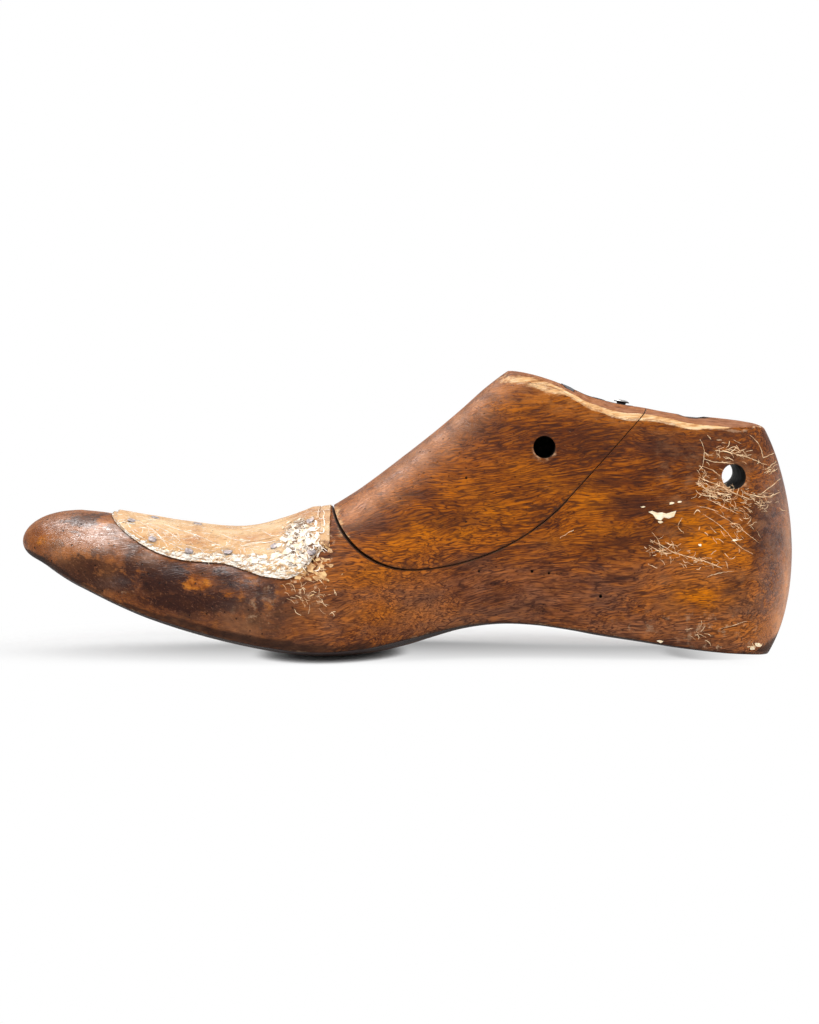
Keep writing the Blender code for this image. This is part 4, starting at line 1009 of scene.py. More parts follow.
HALOES = (
    (512, 390, 20, 7, 0.8), (540, 397, 22, 8, 1.0), (566, 404, 20, 8, 1.0), (592, 412, 22, 8, 0.9),
    (618, 419, 22, 7, 0.8), (700, 432, 50, 4, 0.5), (352, 508, 12, 10, 0.5),
)
FILMS = (
    (322, 568, 14, 13, 1.0), (304, 592, 26, 14, 0.8), (342, 548, 7, 12, 0.7), (262, 612, 22, 14, 0.6),
    (230, 622, 26, 12, 0.5),
)
GLEAMS = (
    (92, 538, 30, 10, 1.7), (66, 530, 20, 10, 0.5), (126, 549, 9, 7, 0.7), (112, 544, 12, 8, 0.6),
    (60, 548, 20, 8, 0.3), (150, 556, 12, 7, 0.35), (228, 569, 14, 4, 0.4), (204, 564, 10, 3, 0.35),
    (118, 583, 16, 6, 0.4), (176, 570, 16, 5, 0.2), (248, 583, 14, 8, 0.2), (262, 600, 18, 10, 0.2),
    (230, 606, 20, 8, 0.15),
)


def stained(points, stains, seed, far=0.85):
    """How strongly each point is stained: by the placed stains, and by others on the far side."""
    total = np.zeros(len(points))
    rng = random.Random(seed)
    spots = []
    for px, py, wide, high, amount in stains:
        point, _ = seen(px, py)
        if point is not None:
            spots.append((np.array(point) / MM, wide * PIXEL, high * PIXEL, amount))
    for _, _, wide, high, amount in stains:
        x = rng.uniform(cad_low.x, cad_high.x)
        point, _ = from_side(x, rng.uniform(0.008, 0.085), 1)
        if point is not None:
            spots.append((np.array(point) / MM, wide * FAR_PIXEL, high * FAR_PIXEL, amount * far))
    for centre, wide, high, amount in spots:
        away = points - centre
        gap = (away[:, 0] / wide) ** 2 + (away[:, 2] / high) ** 2 + (away[:, 1] / 20) ** 2
        total = np.maximum(total, amount * np.exp(-0.9 * gap))
    return total


def leather_rim():
    """Points along the edge of the leather fitting, on the wood."""
    around = [(FITTING_REAR + (FITTING_FRONT - FITTING_REAR) * i / 120) for i in range(121)]
    rim = [fitting_point(d, share) for d in around for share in (-torn_reach(d), 1)]
    rim += [fitting_point(FITTING_FRONT, i / 10) for i in range(-9, 10)]
    return np.array(rim)


def unit(values):
    return np.clip(values, 0, 1)


def paint_wood(mesh, edges, rims):
    """The fields that the wood's material reads: edges, tops, stains, films, and painted shade and sheen."""
    points = points_of(mesh)
    x, y, z = points.T
    bm = bmesh.new()
    bm.from_mesh(mesh)
    bm.normal_update()
    down = np.array([v.normal.z for v in bm.verts])
    bm.free()
    saw = np.array([sawn_height(*place) for place in zip(x, y)])
    from_heel = LENGTH / 2 - x
    ridge = np.array([ridge_offset(d) for d in from_heel])
    beyond = np.abs(y - ridge) - np.array([top_edge(d) for d in from_heel])
    on_saw = unit((z - saw + 0.55) / 0.25) * (from_heel < 108)
    under_saw = unit((z - saw + 3.2) / 2.6) * unit((103 - from_heel) / 8)
    under_saw *= unit((from_heel - 14) / 30) * 0.65
    edge = nearest(points, edges)
    # The sole: faces that turn down, away from its edge. Its dark colour is partly dirt, partly painted
    # shade.
    sole = (down < -0.35) * unit(edge / 1.2)
    toe = unit((from_heel - 243) / 16)
    near = unit((-y - 4) / 8)
    strip = unit((53.5 - from_heel) / 0.8) * unit((z - 14) / 10)
    strip *= unit((84 - z) / 8)
    below = np.array([fitting_edge(min(max(d, 172), FITTING_FRONT)) for d in from_heel]) - z
    grime = unit(below / 3 + 0.3) * unit((27 - below) / 9)
    grime *= unit((from_heel - 177) / 16) * unit((266 - from_heel) / 16)
    holes = np.zeros(len(points))
    for (d, up), bore in ((PULL_HOLE, PULL_HOLE_BORE), (HOOK_HOLE, HOOK_HOLE_BORE)):
        out = np.hypot(x - along(d), z - up) - bore / 2
        holes = np.maximum(holes, unit(1 - out / 0.8) * unit((up - z) / 3 + 0.2))
    seam = unit((z - 33) / 4) * unit((150 - from_heel) / 8)
    worn_back = unit((x - 128) / 12) * unit((z - 8) / 12)
    gleam = np.maximum(stained(points, GLEAMS, 23, 0.12), 0.80 * worn_back * unit((78 - z) / 20))
    # A ring round the thimble's seat that the wood's material darkens as painted shade.
    from_thimble = np.hypot(x - along(THIMBLE_FROM_HEEL), y)
    iron = unit(1.6 - np.abs(from_thimble - FLANGE_RADIUS - 0.5) / 0.7) * (z > 80)
    # Painted shade on the faces that turn down, within a few millimetres of the sole's edge.
    brink = unit((-down - 0.30) / 0.35) * unit((12 - edge) / 4)
    paint(
        mesh, edge=edge, rim=nearest(points, rims[rims[:, 0] > 38]), joint=joint_distance(points),
        top=on_saw * unit(0.5 - beyond / 0.5), gleam=gleam, brink=brink,
        bevel=np.maximum(on_saw * unit(beyond / 0.6 + 0.5), stained(points, PALE_EDGES, 27, 0)),
        halo=np.maximum(stained(points, HALOES, 25, 0), under_saw), iron=iron, sole=sole, toe=toe,
        film=np.maximum(near * strip, stained(points, FILMS, 29, 0)), grime=grime, hole=holes, seam=seam,
        fit=nearest(points, leather_rim()), dark=stained(points, DARK_STAINS, 3),
        amber=stained(points, AMBER_STAINS, 8), scuffed=stained(points, SCUFFS, 12),
        dusky=stained(points, DUSKY_STAINS, 14), bloom=stained(points, SHEEN_AND_GLOSS_SPOTS, 17, 0.3),
    )


def worm_holes(material):
    """The small round holes that a beetle leaves."""
    spots = (
        (479, 571.4, 0.8), (532, 571.4, 1.1), (549, 573.4, 0.9), (600.6, 596.4, 1.2), (466.2, 478, 0.9),
        (466, 522, 0.6),
    )
    rng = random.Random(5)
    found = [(*seen(px, py), size) for px, py, size in spots]
    for _ in range(FAR_WORM_HOLES):
        point, normal = from_side(rng.uniform(-0.02, 0.13), rng.uniform(0.012, 0.07), 1)
        found.append((point, normal, rng.uniform(0.7, 1.3)))
    return [
        drill(f"worm_hole_{i}", rod(size / 2, 1.0, -4.0), 14, material, place_at(point / MM, normal), 0.12, i)
        for i, (point, normal, size) in enumerate(found) if point
    ]


def build_wood():
    wood, sawn, bore, peg_wood = wood_look(), sawn_look(), shaded_bore_look(), peg_look()
    form, edges, rims = last_form()
    form.materials.append(wood)
    body, block = add_object("last_body_worn", form), add_object("scoop_block_worn", form.copy())
    cut(body, cutter("scoop_cutter", outline_mesh("scoop_cutter", scoop_outline(0), CUT_WIDTH), sawn))
    bounds = cutter("block_bounds", outline_mesh("block_bounds", scoop_outline(1), CUT_WIDTH), sawn)
    cut(block, bounds, operation="INTERSECT")

    for piece, name, (d, z), bored, end in (
        (body, "pull_hole", PULL_HOLE, PULL_HOLE_BORE, CUT_REACH),
        (block, "hook_hole", HOOK_HOLE, HOOK_HOLE_BORE, HOOK_HOLE_FLOOR),
    ):
        place = place_at((along(d), 0, z), (0, 1, 0))
        cut(piece, drill(name, rod(bored / 2, end, -CUT_REACH), ROUND_SIDES, bore, place))

    wide, bed = FLANGE_RADIUS + CLEARANCE, FLANGE_THICKNESS + CLEARANCE
    tube = THIMBLE_BORE / 2 + THIMBLE_WALL + CLEARANCE
    low = -THIMBLE_LENGTH - CLEARANCE
    profile = [(0, 3), (wide, 3), (wide, -bed), (tube, -bed), (tube, low), (0, low)]
    cut(body, drill("thimble_bore", profile, ROUND_SIDES, bore, thimble_place()))
    profile = rod(PIN_SHANK / 2 + CLEARANCE, 30, -PIN_LENGTH - CLEARANCE)
    pin_hole = drill("pin_hole", profile, 24, bore, top_place(PIN_FROM_HEEL, LIFT_AXIS))
    floor = SCOOP_BOTTOM[1] + SCOOP_FRONT_RADIUS
    floor -= (SCOOP_FRONT_RADIUS**2 - (PEG_FROM_HEEL - SCOOP_BOTTOM[0]) ** 2) ** 0.5
    peg_place = place_at((along(PEG_FROM_HEEL), 0, floor), LIFT_AXIS)
    profile = rod(PEG_DIAMETER / 2 + CLEARANCE, PEG_PROUD + CLEARANCE, -PEG_SEATED - CLEARANCE)
    peg_hole = drill("peg_hole", profile, 32, bore, peg_place)
    cut(body, pin_hole, peg_hole)
    groove = cutter("strap_groove", strap_mesh("strap_groove", CLEARANCE, STRAP_THICKNESS), bore)
    cut(block, pin_hole, peg_hole, groove)
    holes = worm_holes(bore)
    cut(body, *holes)
    cut(block, *(hole for hole in holes if -0.02 < hole.matrix_world.translation.x < 0.08))
    for piece, name, node in ((body, "last", "last_body"), (block, "block", "scoop_block")):
        apply_modifiers(piece)
        paint_wood(piece.data, edges, rims)
        dress(piece, name, (node,))

    half = PEG_DIAMETER / 2
    profile = [
        (0, PEG_PROUD), (half - 1.0, PEG_PROUD - 0.05), (half - 0.35, PEG_PROUD - 0.4),
        (half, PEG_PROUD - 1.1), (half, 0), (half, -PEG_SEATED + 0.4), (half - 0.4, -PEG_SEATED),
        (0, -PEG_SEATED),
    ]
    mesh = spun("locating_peg_turned", profile, 40, 0.012, 2)
    finish_piece(mesh.name, mesh, peg_wood, "last", ("locating_peg",), HARD_EDGE, peg_place)


def strap_half_width(d, grow):
    """Half the strap's width at a distance from the heel: a plain band, and a wide end at its front."""
    half, end, nose = (width / 2 + grow for width in (STRAP_WIDTH, STRAP_END_WIDTH, STRAP_NOSE_WIDTH))
    if d < STRAP_SHOULDER - grow:
        return half
    ahead = STRAP_FRONT + grow - d
    return end if ahead > STRAP_TAPER else nose + (end - nose) * max(0.0, ahead) / STRAP_TAPER


def strap_mesh(name, grow, above):
    """The strap, curved as the sawn top is, grown at its ends, sides and underside."""
    front, rear, shoulder = STRAP_FRONT + grow, STRAP_REAR - grow, STRAP_SHOULDER - grow
    stations = [front, front - 0.6, front - 1.2, front - STRAP_TAPER]
    stations += [shoulder + 1.2, shoulder, shoulder - 0.001]
    stations += [shoulder + (rear - shoulder) * i / 24 for i in range(1, 25)]
    shares = [i / 8 for i in range(-8, 9)]
    bm = bmesh.new()
    rings = []
    for d in stations:
        half = strap_half_width(d, grow)
        corners = [(share, above) for share in shares]
        corners += [(share, -STRAP_THICKNESS - grow) for share in shares[::-1]]
        flat = [(along(d), share * half, lift) for share, lift in corners]
        rings.append([bm.verts.new(Vector((x, y, sawn_height(x, y) + lift)) * MM) for x, y, lift in flat])
    skin(bm, rings)
    bm.faces.new(rings[0])
    bm.faces.new(rings[-1][::-1])
    return mesh_from(bm, name, True)


def build_steel():
    steel = steel_look("tarnished_steel", (0.020, 0.023, 0.030), (0.085, 0.092, 0.105), 0.6, 0.36)
    bright = steel_look("rubbed_pin_steel", (0.24, 0.23, 0.22), (0.66, 0.65, 0.63), 0.4, 0.28, crown=True)
    inner, outer, wide = THIMBLE_BORE / 2, THIMBLE_BORE / 2 + THIMBLE_WALL, FLANGE_RADIUS
    profile = [
        (inner + 0.42, -0.06), (inner + 0.6, 0), (wide - 0.3, 0), (wide - 0.08, -0.08), (wide, -0.3),
        (wide, -FLANGE_THICKNESS), (outer, -FLANGE_THICKNESS), (outer, -THIMBLE_LENGTH + 0.3),
        (outer - 0.3, -THIMBLE_LENGTH), (inner, -THIMBLE_LENGTH), (inner, -1.6), (inner + 0.12, -0.8),
        (inner + 0.3, -0.3),
    ]
    mesh = spun("jack_thimble_spun", profile, 96)
    finish_piece(
        mesh.name, mesh, steel, "last", ("jack_thimble",), HARD_EDGE, thimble_place()
    )
    strap = add_object("block_strap_let_in", strap_mesh("block_strap_let_in", 0, 0), material=steel)
    bevel = strap.modifiers.new("edges", "BEVEL")
    bevel.width, bevel.segments, bevel.limit_method = 0.16 * MM, 2, "ANGLE"
    head, shank = SCREW_HEAD / 2, SCREW_SHANK / 2
    for name, d, twist in zip(("front", "rear"), STRAP_SCREWS, (radians(35), radians(70))):
        place = top_place(d, lean(slope_of(top_height, d)), twist)
        place = place @ Matrix.Translation((0, 0, SCREW_PROUD * MM))
        grown, hole = head + CLEARANCE * 0.8, shank + CLEARANCE
        cone = [(0, 0.6), (grown, 0.6), (grown, -0.05), (hole, shank - head), (hole, -3), (0, -3)]
        cut(strap, drill(f"screw_seat_{name}", cone, 40, steel, place))
        profile = [(0, -0.02), (head * 0.7, -0.03), (head - 0.12, -0.08), (head, -0.22)]
        profile.append((shank, -(head - shank) - 0.2))
        for i in range(int((SCREW_LENGTH - 4.5) / THREAD_PITCH)):
            z = -2.6 - i * THREAD_PITCH
            profile += [(shank, z), (shank * 0.74, z - THREAD_PITCH / 2)]
        profile += [(shank * 0.7, -SCREW_LENGTH + 1.6), (0, -SCREW_LENGTH)]
        mesh = spun(f"strap_screw_{name}_slotted", profile, 40)
        screw = add_object(mesh.name, mesh, place=place, material=steel)
        bm = bmesh.new()
        bmesh.ops.create_cube(bm, size=1, matrix=Matrix.Diagonal((0.7 * MM, 8 * MM, 1.1 * MM, 1)))
        cut(screw, cutter(f"driver_slot_{name}", mesh_from(bm, f"driver_slot_{name}"), steel, place))
        apply_modifiers(screw)
        dress(screw, "block", (f"strap_screw_{name}",))
    pin_place = top_place(PIN_FROM_HEEL, LIFT_AXIS)
    cut(strap, drill("strap_pin_hole", rod(PIN_SHANK / 2 + CLEARANCE, 5, -5), 32, steel, pin_place))
    apply_modifiers(strap)
    dress(strap, "block", ("block_strap",))

    shank, head, low = PIN_SHANK / 2, PIN_HEAD / 2, PIN_PROUD
    profile = [
        (0, low + 1.0), (head * 0.35, low + 0.98), (head * 0.62, low + 0.86), (head * 0.86, low + 0.62),
        (head, low + 0.34), (head, low + 0.16), (head - 0.15, low + 0.02), (shank + 0.25, low),
        (shank, low - 0.25), (shank, -PIN_LENGTH * 0.5), (shank, -PIN_LENGTH + 2.6),
        (shank * 0.55, -PIN_LENGTH + 0.9), (0, -PIN_LENGTH),
    ]
    mesh = spun("block_pin_forged", profile, 48, 0.03, 4)
    finish_piece(mesh.name, mesh, bright, "pin", ("block_pin",), HARD_EDGE, pin_place)


def fitting_point(d, share, margin=1.0):
    """A point of the vamp in millimetres. share runs from the fitting's inner edge, -1, to its outer, 1."""
    spoke = side_spoke(d, 1 if share > 0 else -1)
    low, high = 0.05, 0.999
    edge = fitting_edge(d)
    for _ in range(22):
        middle = (low + high) / 2
        low, high = (middle, high) if spoke.wall(middle).z < edge else (low, middle)
    return spoke.wall(1 - (1 - low) * abs(share) * margin)


def fitting_surface(d, share, margin=1.0):
    step = 0.02
    forward = fitting_point(d + 0.4, share, margin) - fitting_point(d - 0.4, share, margin)
    sideways = fitting_point(d, share + step, margin) - fitting_point(d, share - step, margin)
    return fitting_point(d, share or 1e-6, margin), forward.cross(sideways).normalized() * -1


def thickness_of(leather, d, share):
    """How thick a leather layer and its bed are: skived to little at the sides."""
    return SKIVED_EDGE + (LEATHER_BED + leather(d) - SKIVED_EDGE) * max(0.0, 1 - abs(share) ** 4)


def lower_thickness(d, share):
    return thickness_of(lower_leather, d, share)


def upper_thickness(d, share):
    return thickness_of(upper_leather, d, share / UPPER_MARGIN)


torn_line = line(((173, 0.72), (177, 0.73), (179.5, 0.81), (182, 0.89), (185, 0.95), (189, 1)))
whitened_width = line(
    ((173, 0), (178, 2), (183, 7.5), (190, 8), (200, 6.5), (212, 4.2), (225, 3), (240, 1.8), (256, 1))
)


def torn_reach(d):
    """How far down the inner side the leather still reaches: its rear corner is torn away."""
    return min(1.0, torn_line(d)) if d < 189 else 1.0


def flayed(d, share):
    """How far the leather's surface is torn off: a patch on its inner side, near its rear."""
    gap = ((d - 184.5) / 6.0) ** 2 + ((share + 0.62) / 0.36) ** 2
    return max(0.0, min(1.0, 1.6 - gap * 1.3))


def leather_mesh(name, front, rear, margin, lift, thickness, tear, seed):
    """A layer of the fitting: a thick skin over the vamp, with torn edges and a worn surface."""
    strips, stations = 96, 150
    shift = Vector((seed * 13.7, seed * 5.1, seed * 3.3))
    bm = bmesh.new()
    tops, bottoms, worn_places = [], [], {}
    for i in range(stations + 1):
        u = i / stations
        along_share = 1 - (1 - u) ** 1.5
        d0 = rear + (front - rear) * along_share
        top_row, bottom_row = [], []
        for j in range(strips + 1):
            share = -1 + 2 * j / strips
            ends = Vector((share * 30, seed * 7.0, 0))
            d = d0 - tear * 0.9 * abs(rough(ends + shift, 3.0)) * max(0.0, 1 - (1 - u) * 12)
            d += tear * 1.2 * abs(rough(ends * 1.3 + shift, 4.5)) * max(0.0, 1 - u * 14)
            side = Vector((d0, 50 if share > 0 else -50, 0))
            bite = tear * (0.034 * abs(rough(side + shift, 7.0)) + 0.018 * abs(rough(side + shift, 1.8)))
            reach = torn_reach(d0) if share < 0 else 1.0
            bite += (1 - reach) * 0.22 * abs(rough(side + shift, 2.0))
            placed = share * reach
            point, outward = fitting_surface(d, placed, margin - bite * abs(share) ** 6)
            skive = max(0.0, 1 - abs(placed) ** 4)
            skive *= min(1.0, 0.25 + (d0 - rear) / 3.2)
            thick = SIDE_THICKNESS + (thickness(d) - SIDE_THICKNESS) * skive
            wear = 0.10 * rough(point + shift, 7.0) + 0.06 * rough(point + shift, 1.8)
            base = lift(d, placed * margin) + SIDE_BED + (LEATHER_BED - SIDE_BED) * skive
            wear = (wear - 0.06) * (1 if lift(d, 0) else 0.4) * (0.3 + 0.7 * skive)
            top = base + max(LEAST_THICKNESS, thick + wear)
            bottom_row.append(bm.verts.new((point + outward * base) * MM))
            vert = bm.verts.new((point + outward * top) * MM)
            top_row.append(vert)
            across_gap, ahead, behind = (reach - abs(placed)) * 34, front - d0, d0 - rear
            whitened = whitened_width(d0) * (1 if share < 0 else 0.5)
            pale = max(0.0, min(1.0, (whitened - across_gap) / 2.2 + 0.5))
            pale = max(pale, 0.75 * max(0.0, 1 - ahead / 0.9), flayed(d0, placed) * 0.8)
            dirty = max(0.0, 1 - behind / 9) * max(0.0, min(1.0, (-placed - 0.60) * 9)) * 0.9
            worn_places[vert] = (min(across_gap, ahead + 0.3, behind + 0.3), pale, flayed(d0, placed), dirty)
        tops.append(top_row)
        bottoms.append(bottom_row)
    for i in range(stations):
        for j in range(strips):
            bm.faces.new((tops[i][j], tops[i + 1][j], tops[i + 1][j + 1], tops[i][j + 1]))
            bm.faces.new((bottoms[i][j + 1], bottoms[i + 1][j + 1], bottoms[i + 1][j], bottoms[i][j]))
        for j in (0, strips):
            bm.faces.new((tops[i][j], bottoms[i][j], bottoms[i + 1][j], tops[i + 1][j]))
    for i in (0, stations):
        for j in range(strips):
            bm.faces.new((tops[i][j], tops[i][j + 1], bottoms[i][j + 1], bottoms[i][j]))
    bm.verts.index_update()
    worn_at = np.zeros((len(bm.verts), 4))
    for vert, place in worn_places.items():
        worn_at[vert.index] = place
    mesh = mesh_from(bm, name, True)
    heads = np.array([tack_seat(d, share)[0] for d, share in TACKS])
    points = points_of(mesh)
    from_tack = nearest(points, heads)
    rust = unit(1 - (from_tack - 1.5) / 0.5)
    white = np.maximum(worn_at[:, 1], 0.55 * unit(1 - np.abs(from_tack - 2.4) / 1.0))
    paint(mesh, edge=worn_at[:, 0], white=white, torn=worn_at[:, 2], soiled=worn_at[:, 3], rust=rust)
    return mesh


def tree_of(*meshes):
    corners, faces = [], []
    for mesh in meshes:
        start = len(corners)
        corners += [vertex.co.copy() for vertex in mesh.vertices]
        faces += [[start + i for i in polygon.vertices] for polygon in mesh.polygons]
    return BVHTree.FromPolygons(corners, faces)


def tack_seat(d, share):
    point, outward = fitting_surface(d, share)
    return point + outward * (lower_thickness(d, share) + upper_thickness(d, share)), outward


def tack_mesh(name, seed):
    """A hand-forged tack: an uneven, hammered head on a square tapering shank."""
    rng = random.Random(seed)
    head, turns = 1.62, [2 * pi * i / 28 for i in range(28)]
    lobes = [(rng.uniform(0, 2 * pi), rng.uniform(0.04, 0.09), k) for k in (2, 3, 4)]
    bm = bmesh.new()
    rings = []
    for r, z in (
        (0, 0.24), (0.35, 0.25), (0.62, 0.23), (0.85, 0.18), (0.97, 0.1), (1, 0), (0.9, -0.2), (0.42, -0.3)
    ):
        rings.append([])
        for a in turns:
            out = 1 + sum(size * sin(k * a + phase) for phase, size, k in lobes)
            dent = 0.08 * noise.noise(Vector((r * cos(a) * 2, r * sin(a) * 2, seed * 3.1))) * (z > 0.15)
            point = Vector((r * head * out * cos(a), r * head * out * sin(a), z + dent))
            rings[-1].append(bm.verts.new(point * MM))
    for z, half in ((-1.0, 0.72), (-6.0, 0.5), (-8.9, 0.06)):
        square = [min(half / max(abs(cos(a)), abs(sin(a))), half * 1.25) for a in turns]
        corners = [Vector((out * cos(a), out * sin(a), z)) for out, a in zip(square, turns)]
        rings.append([bm.verts.new(corner * MM) for corner in corners])
    skin(bm, rings)
    bm.faces.new(reversed(rings[-1]))
    bmesh.ops.remove_doubles(bm, verts=bm.verts, dist=0.002 * MM)
    return mesh_from(bm, name, True)


def build_leather():
    layers = []
    for name, look_name, paleness, *shape in (
        (
            "lower", "under_leather", 0.12, FITTING_FRONT, FITTING_REAR - 0.2, 1.0, lambda d, a: 0.0,
            lower_leather, 0.35, 1,
        ),
        (
            "upper", "upper_leather", 0.0, UPPER_FRONT, UPPER_REAR, UPPER_MARGIN, lower_thickness,
            upper_leather, 0.9, 2,
        ),
    ):
        mesh = leather_mesh(f"leather_{name}_torn", *shape)
        look = leather_look(look_name, paleness)
        finish_piece(
            mesh.name, mesh, look, "last", (f"leather_{name}_layer",), LEATHER_EDGE
        )
        layers.append(mesh)
    SURFACE["leather"] = tree_of(*layers)
    iron = steel_look("tack_iron", (0.085, 0.074, 0.074), (0.34, 0.295, 0.29), 0.35, 0.56)
    for i, (d, share) in enumerate(TACKS):
        seat, outward = tack_seat(d, share)
        rng = random.Random(40 + i)
        tilt = Vector([rng.uniform(-0.12, 0.12) for _ in range(3)])
        place = place_at(seat - outward * 0.05, outward + tilt, rng.uniform(0, 6))
        name = f"tack_{i + 1:02d}"
        mesh = tack_mesh(name + "_hammered", i)
        finish_piece(mesh.name, mesh, iron, "last", (name,), HARD_EDGE, place)


def ribbon(bm, path, radius):
    """A thin tapering thread along a path of points, in metres."""
    rings = []
    for i, point in enumerate(path):
        before, after = path[max(i - 1, 0)], path[min(i + 1, len(path) - 1)]
        frame_of = (after - before).to_track_quat("Z", "Y").to_matrix()
        share = i / (len(path) - 1)
        size = radius * (0.35 + 0.65 * sin(pi * min(max(share, 0.06), 0.94)) ** 0.5)
        rings.append([
            bm.verts.new(point + frame_of @ Vector((size * cos(a), size * sin(a), 0)))
            for a in (0.4, 0.4 + pi / 2, 0.4 + pi, 0.4 + 3 * pi / 2)
        ])
    skin(bm, rings)
    bm.faces.new(reversed(rings[0]))
    bm.faces.new(rings[-1])


def wandering(x, y, heading, bend, length, parts=3):
    """The four corners of a bent thread, in pixels of the photograph."""
    corners = [(x, y)]
    for _ in range(3):
        x, y = x + cos(heading) * length / parts, y + sin(heading) * length / parts
        heading += bend
        corners.append((x, y))
    return corners


def smooth_between(a, b, c, d, t):
    """A smooth course from b to c, whose neighbours are a and d. t runs from 0 to 1."""
    bent = (2 * a - 5 * b + 4 * c - d) * t**2
    return 0.5 * (2 * b + (c - a) * t + bent + (3 * b - a - 3 * c + d) * t**3)


def strand_over(bm, corners, radius, lift, rng, look_up=seen):
    """A thread laid over the wood through pixels of the photograph, smoothed and a little crooked."""
    path = []
    for k in range(len(corners) - 1):
        p0, p1 = corners[max(k - 1, 0)], corners[k]
        p2, p3 = corners[k + 1], corners[min(k + 2, len(corners) - 1)]
        length = hypot(p2[0] - p1[0], p2[1] - p1[1])
        steps = max(2, ceil(length / 1.8))
        for i in range(steps + (k == len(corners) - 2)):
            t = i / steps
            at = [smooth_between(*corner, t) for corner in zip(p0, p1, p2, p3)]
            point, normal = look_up(at[0] + rng.uniform(-0.3, 0.3), at[1] + rng.uniform(-0.3, 0.3))
            if point is None:
                return
            path.append(point + normal * lift * MM * rng.uniform(0.4, 1.0))
    if len(path) > 2:
        ribbon(bm, path, radius * MM)


# The longest threads of dried glue on the heel: half their thickness, then pixels of the photograph.
GLUE_THREADS = (
    (0.15, (722, 451), (734, 454), (747, 457), (761, 463)), (0.12, (736, 445), (739, 451), (732, 454)),
    (0.16, (763, 458), (774, 453)), (0.13, (750, 435), (759, 445), (763, 457)),
    (0.10, (700, 439), (704, 449), (703, 464), (699, 470)),
    (0.12, (704, 459), (715, 462), (726, 463), (734, 464)),
    (0.20, (699, 477), (707, 481), (722, 487), (734, 493), (749, 499)),
    (0.17, (699, 481), (707, 490), (719, 493), (732, 495)),
    (0.14, (696, 490), (701, 495), (715, 497), (730, 502)),
    (0.18, (744, 493), (763, 497), (773, 495), (780, 492)), (0.13, (759, 495), (770, 487), (780, 479)),
    (0.12, (697, 506), (707, 508), (719, 512)), (0.12, (707, 499), (722, 506), (738, 514)),
    (0.16, (730, 524), (738, 524), (743, 530)), (0.10, (703, 514), (722, 527), (738, 545), (753, 554)),
    (0.09, (715, 512), (734, 524), (759, 543)), (0.10, (682, 518), (678, 527), (684, 533)),
    (0.15, (650, 540), (663, 546), (673, 552), (690, 557), (707, 562), (722, 568)),
    (0.12, (649, 545), (657, 550), (667, 555)), (0.13, (648, 564), (657, 568)),
    (0.11, (707, 577), (719, 573), (734, 571)), (0.09, (719, 629), (734, 625), (747, 621)),
    (0.22, (747, 647), (755, 646), (762, 644)), (0.18, (752, 643), (755, 648)),
    (0.13, (652, 532), (658, 540), (661, 549)), (0.20, (694, 514), (697, 510), (700, 512)),
    (0.16, (729, 449), (735, 447), (741, 452)), (0.12, (702, 466), (712, 470), (720, 476)),
    (0.12, (560, 538), (568, 533), (574, 530)),
)


def build_residue():
    """What a paper label left on the heel: threads of glue, flecks, and a scrap of paper."""
    rng = random.Random(21)
    bm = bmesh.new()
    for radius, *corners in GLUE_THREADS:
        strand_over(bm, corners, radius, 0.10, rng)
    # Where shorter threads lie: pixels of the photograph, how far they spread, how many, and their slope.
    zones = (
        (714, 490, 22, 10, 80, 0.35), (740, 505, 26, 20, 50, 0.5), (735, 532, 30, 14, 20, 0.6),
        (664, 550, 22, 10, 44, 0.5), (704, 562, 26, 8, 26, 0.3), (726, 452, 22, 12, 34, 0.3),
        (690, 632, 34, 6, 10, 0.1), (308, 592, 28, 16, 44, 0.6), (292, 574, 30, 6, 16, 0.2),
        (702, 478, 6, 14, 18, 1.2), (765, 470, 12, 10, 18, -0.5), (760, 500, 18, 14, 24, -0.3),
    )
    for px, py, wide, high, count, lean_down in zones:
        for _ in range(count):
            x, y = px + rng.gauss(0, 0.5) * wide, py + rng.gauss(0, 0.5) * high
            heading = rng.gauss(lean_down, 0.55)
            length = rng.uniform(2.5, 10)
            corners = wandering(x, y, heading, rng.uniform(-1.1, 1.1) * 0.5, length)
            strand_over(bm, corners, rng.uniform(0.05, 0.135), 0.07, rng)
    for _ in range(FAR_GLUE_THREADS):
        x, z = rng.gauss(0.105, 0.016), rng.gauss(0.058, 0.016)
        heading, length = rng.uniform(-1, 1), rng.uniform(0.001, 0.006)
        corners = [(x + cos(heading) * length * k, z + sin(heading) * length * k) for k in (0, 0.5, 1)]
        path = [from_side(a, b, 1) for a, b in corners]
        if all(p for p, _ in path):
            ribbon(bm, [p + n * 0.08 * MM for p, n in path], rng.uniform(0.04, 0.09) * MM)
    glue = thread_look("dried_glue", (0.50, 0.270, 0.115), (0.88, 0.66, 0.40))
    finish_piece("glue_threads", mesh_from(bm, "glue_threads"), glue, "last")

    paper = thread_look("old_paper", (0.74, 0.58, 0.36), (0.88, 0.78, 0.58))
    outline = (
        (648.5, 512), (653, 514.5), (656, 519), (661, 520.5), (664, 517.5), (669, 518.5), (674, 516.5),
        (676, 511), (671, 513), (667, 514), (662, 512.5), (657, 513), (652, 511),
    )
    bm = bmesh.new()
    flake(bm, [seen(*p) for p in outline], 0.15, 0.9, rng)
    # Specks of paper: pixels of the photograph and half their size there.
    specks = (
        (660, 522, 2.0), (672, 503, 2.4), (680, 502, 1.8), (643, 507, 1.4), (758, 645, 3.0),
        (752, 648, 2.2), (660, 641, 2.0), (700, 545, 1.5), (735, 540, 1.8),
    )
    for px, py, size in specks:
        ring = []
        for k in range(6):
            a = k * pi / 3 + rng.uniform(-0.3, 0.3)
            out = size * rng.uniform(0.5, 1.2)
            ring.append(seen(px + out * cos(a) * 1.5, py + out * sin(a) * 0.8))
        if all(p for p, _ in ring):
            flake(bm, ring, 0.1, 0.4, rng)
    finish_piece("paper_scraps", mesh_from(bm, "paper_scraps"), paper, "last")


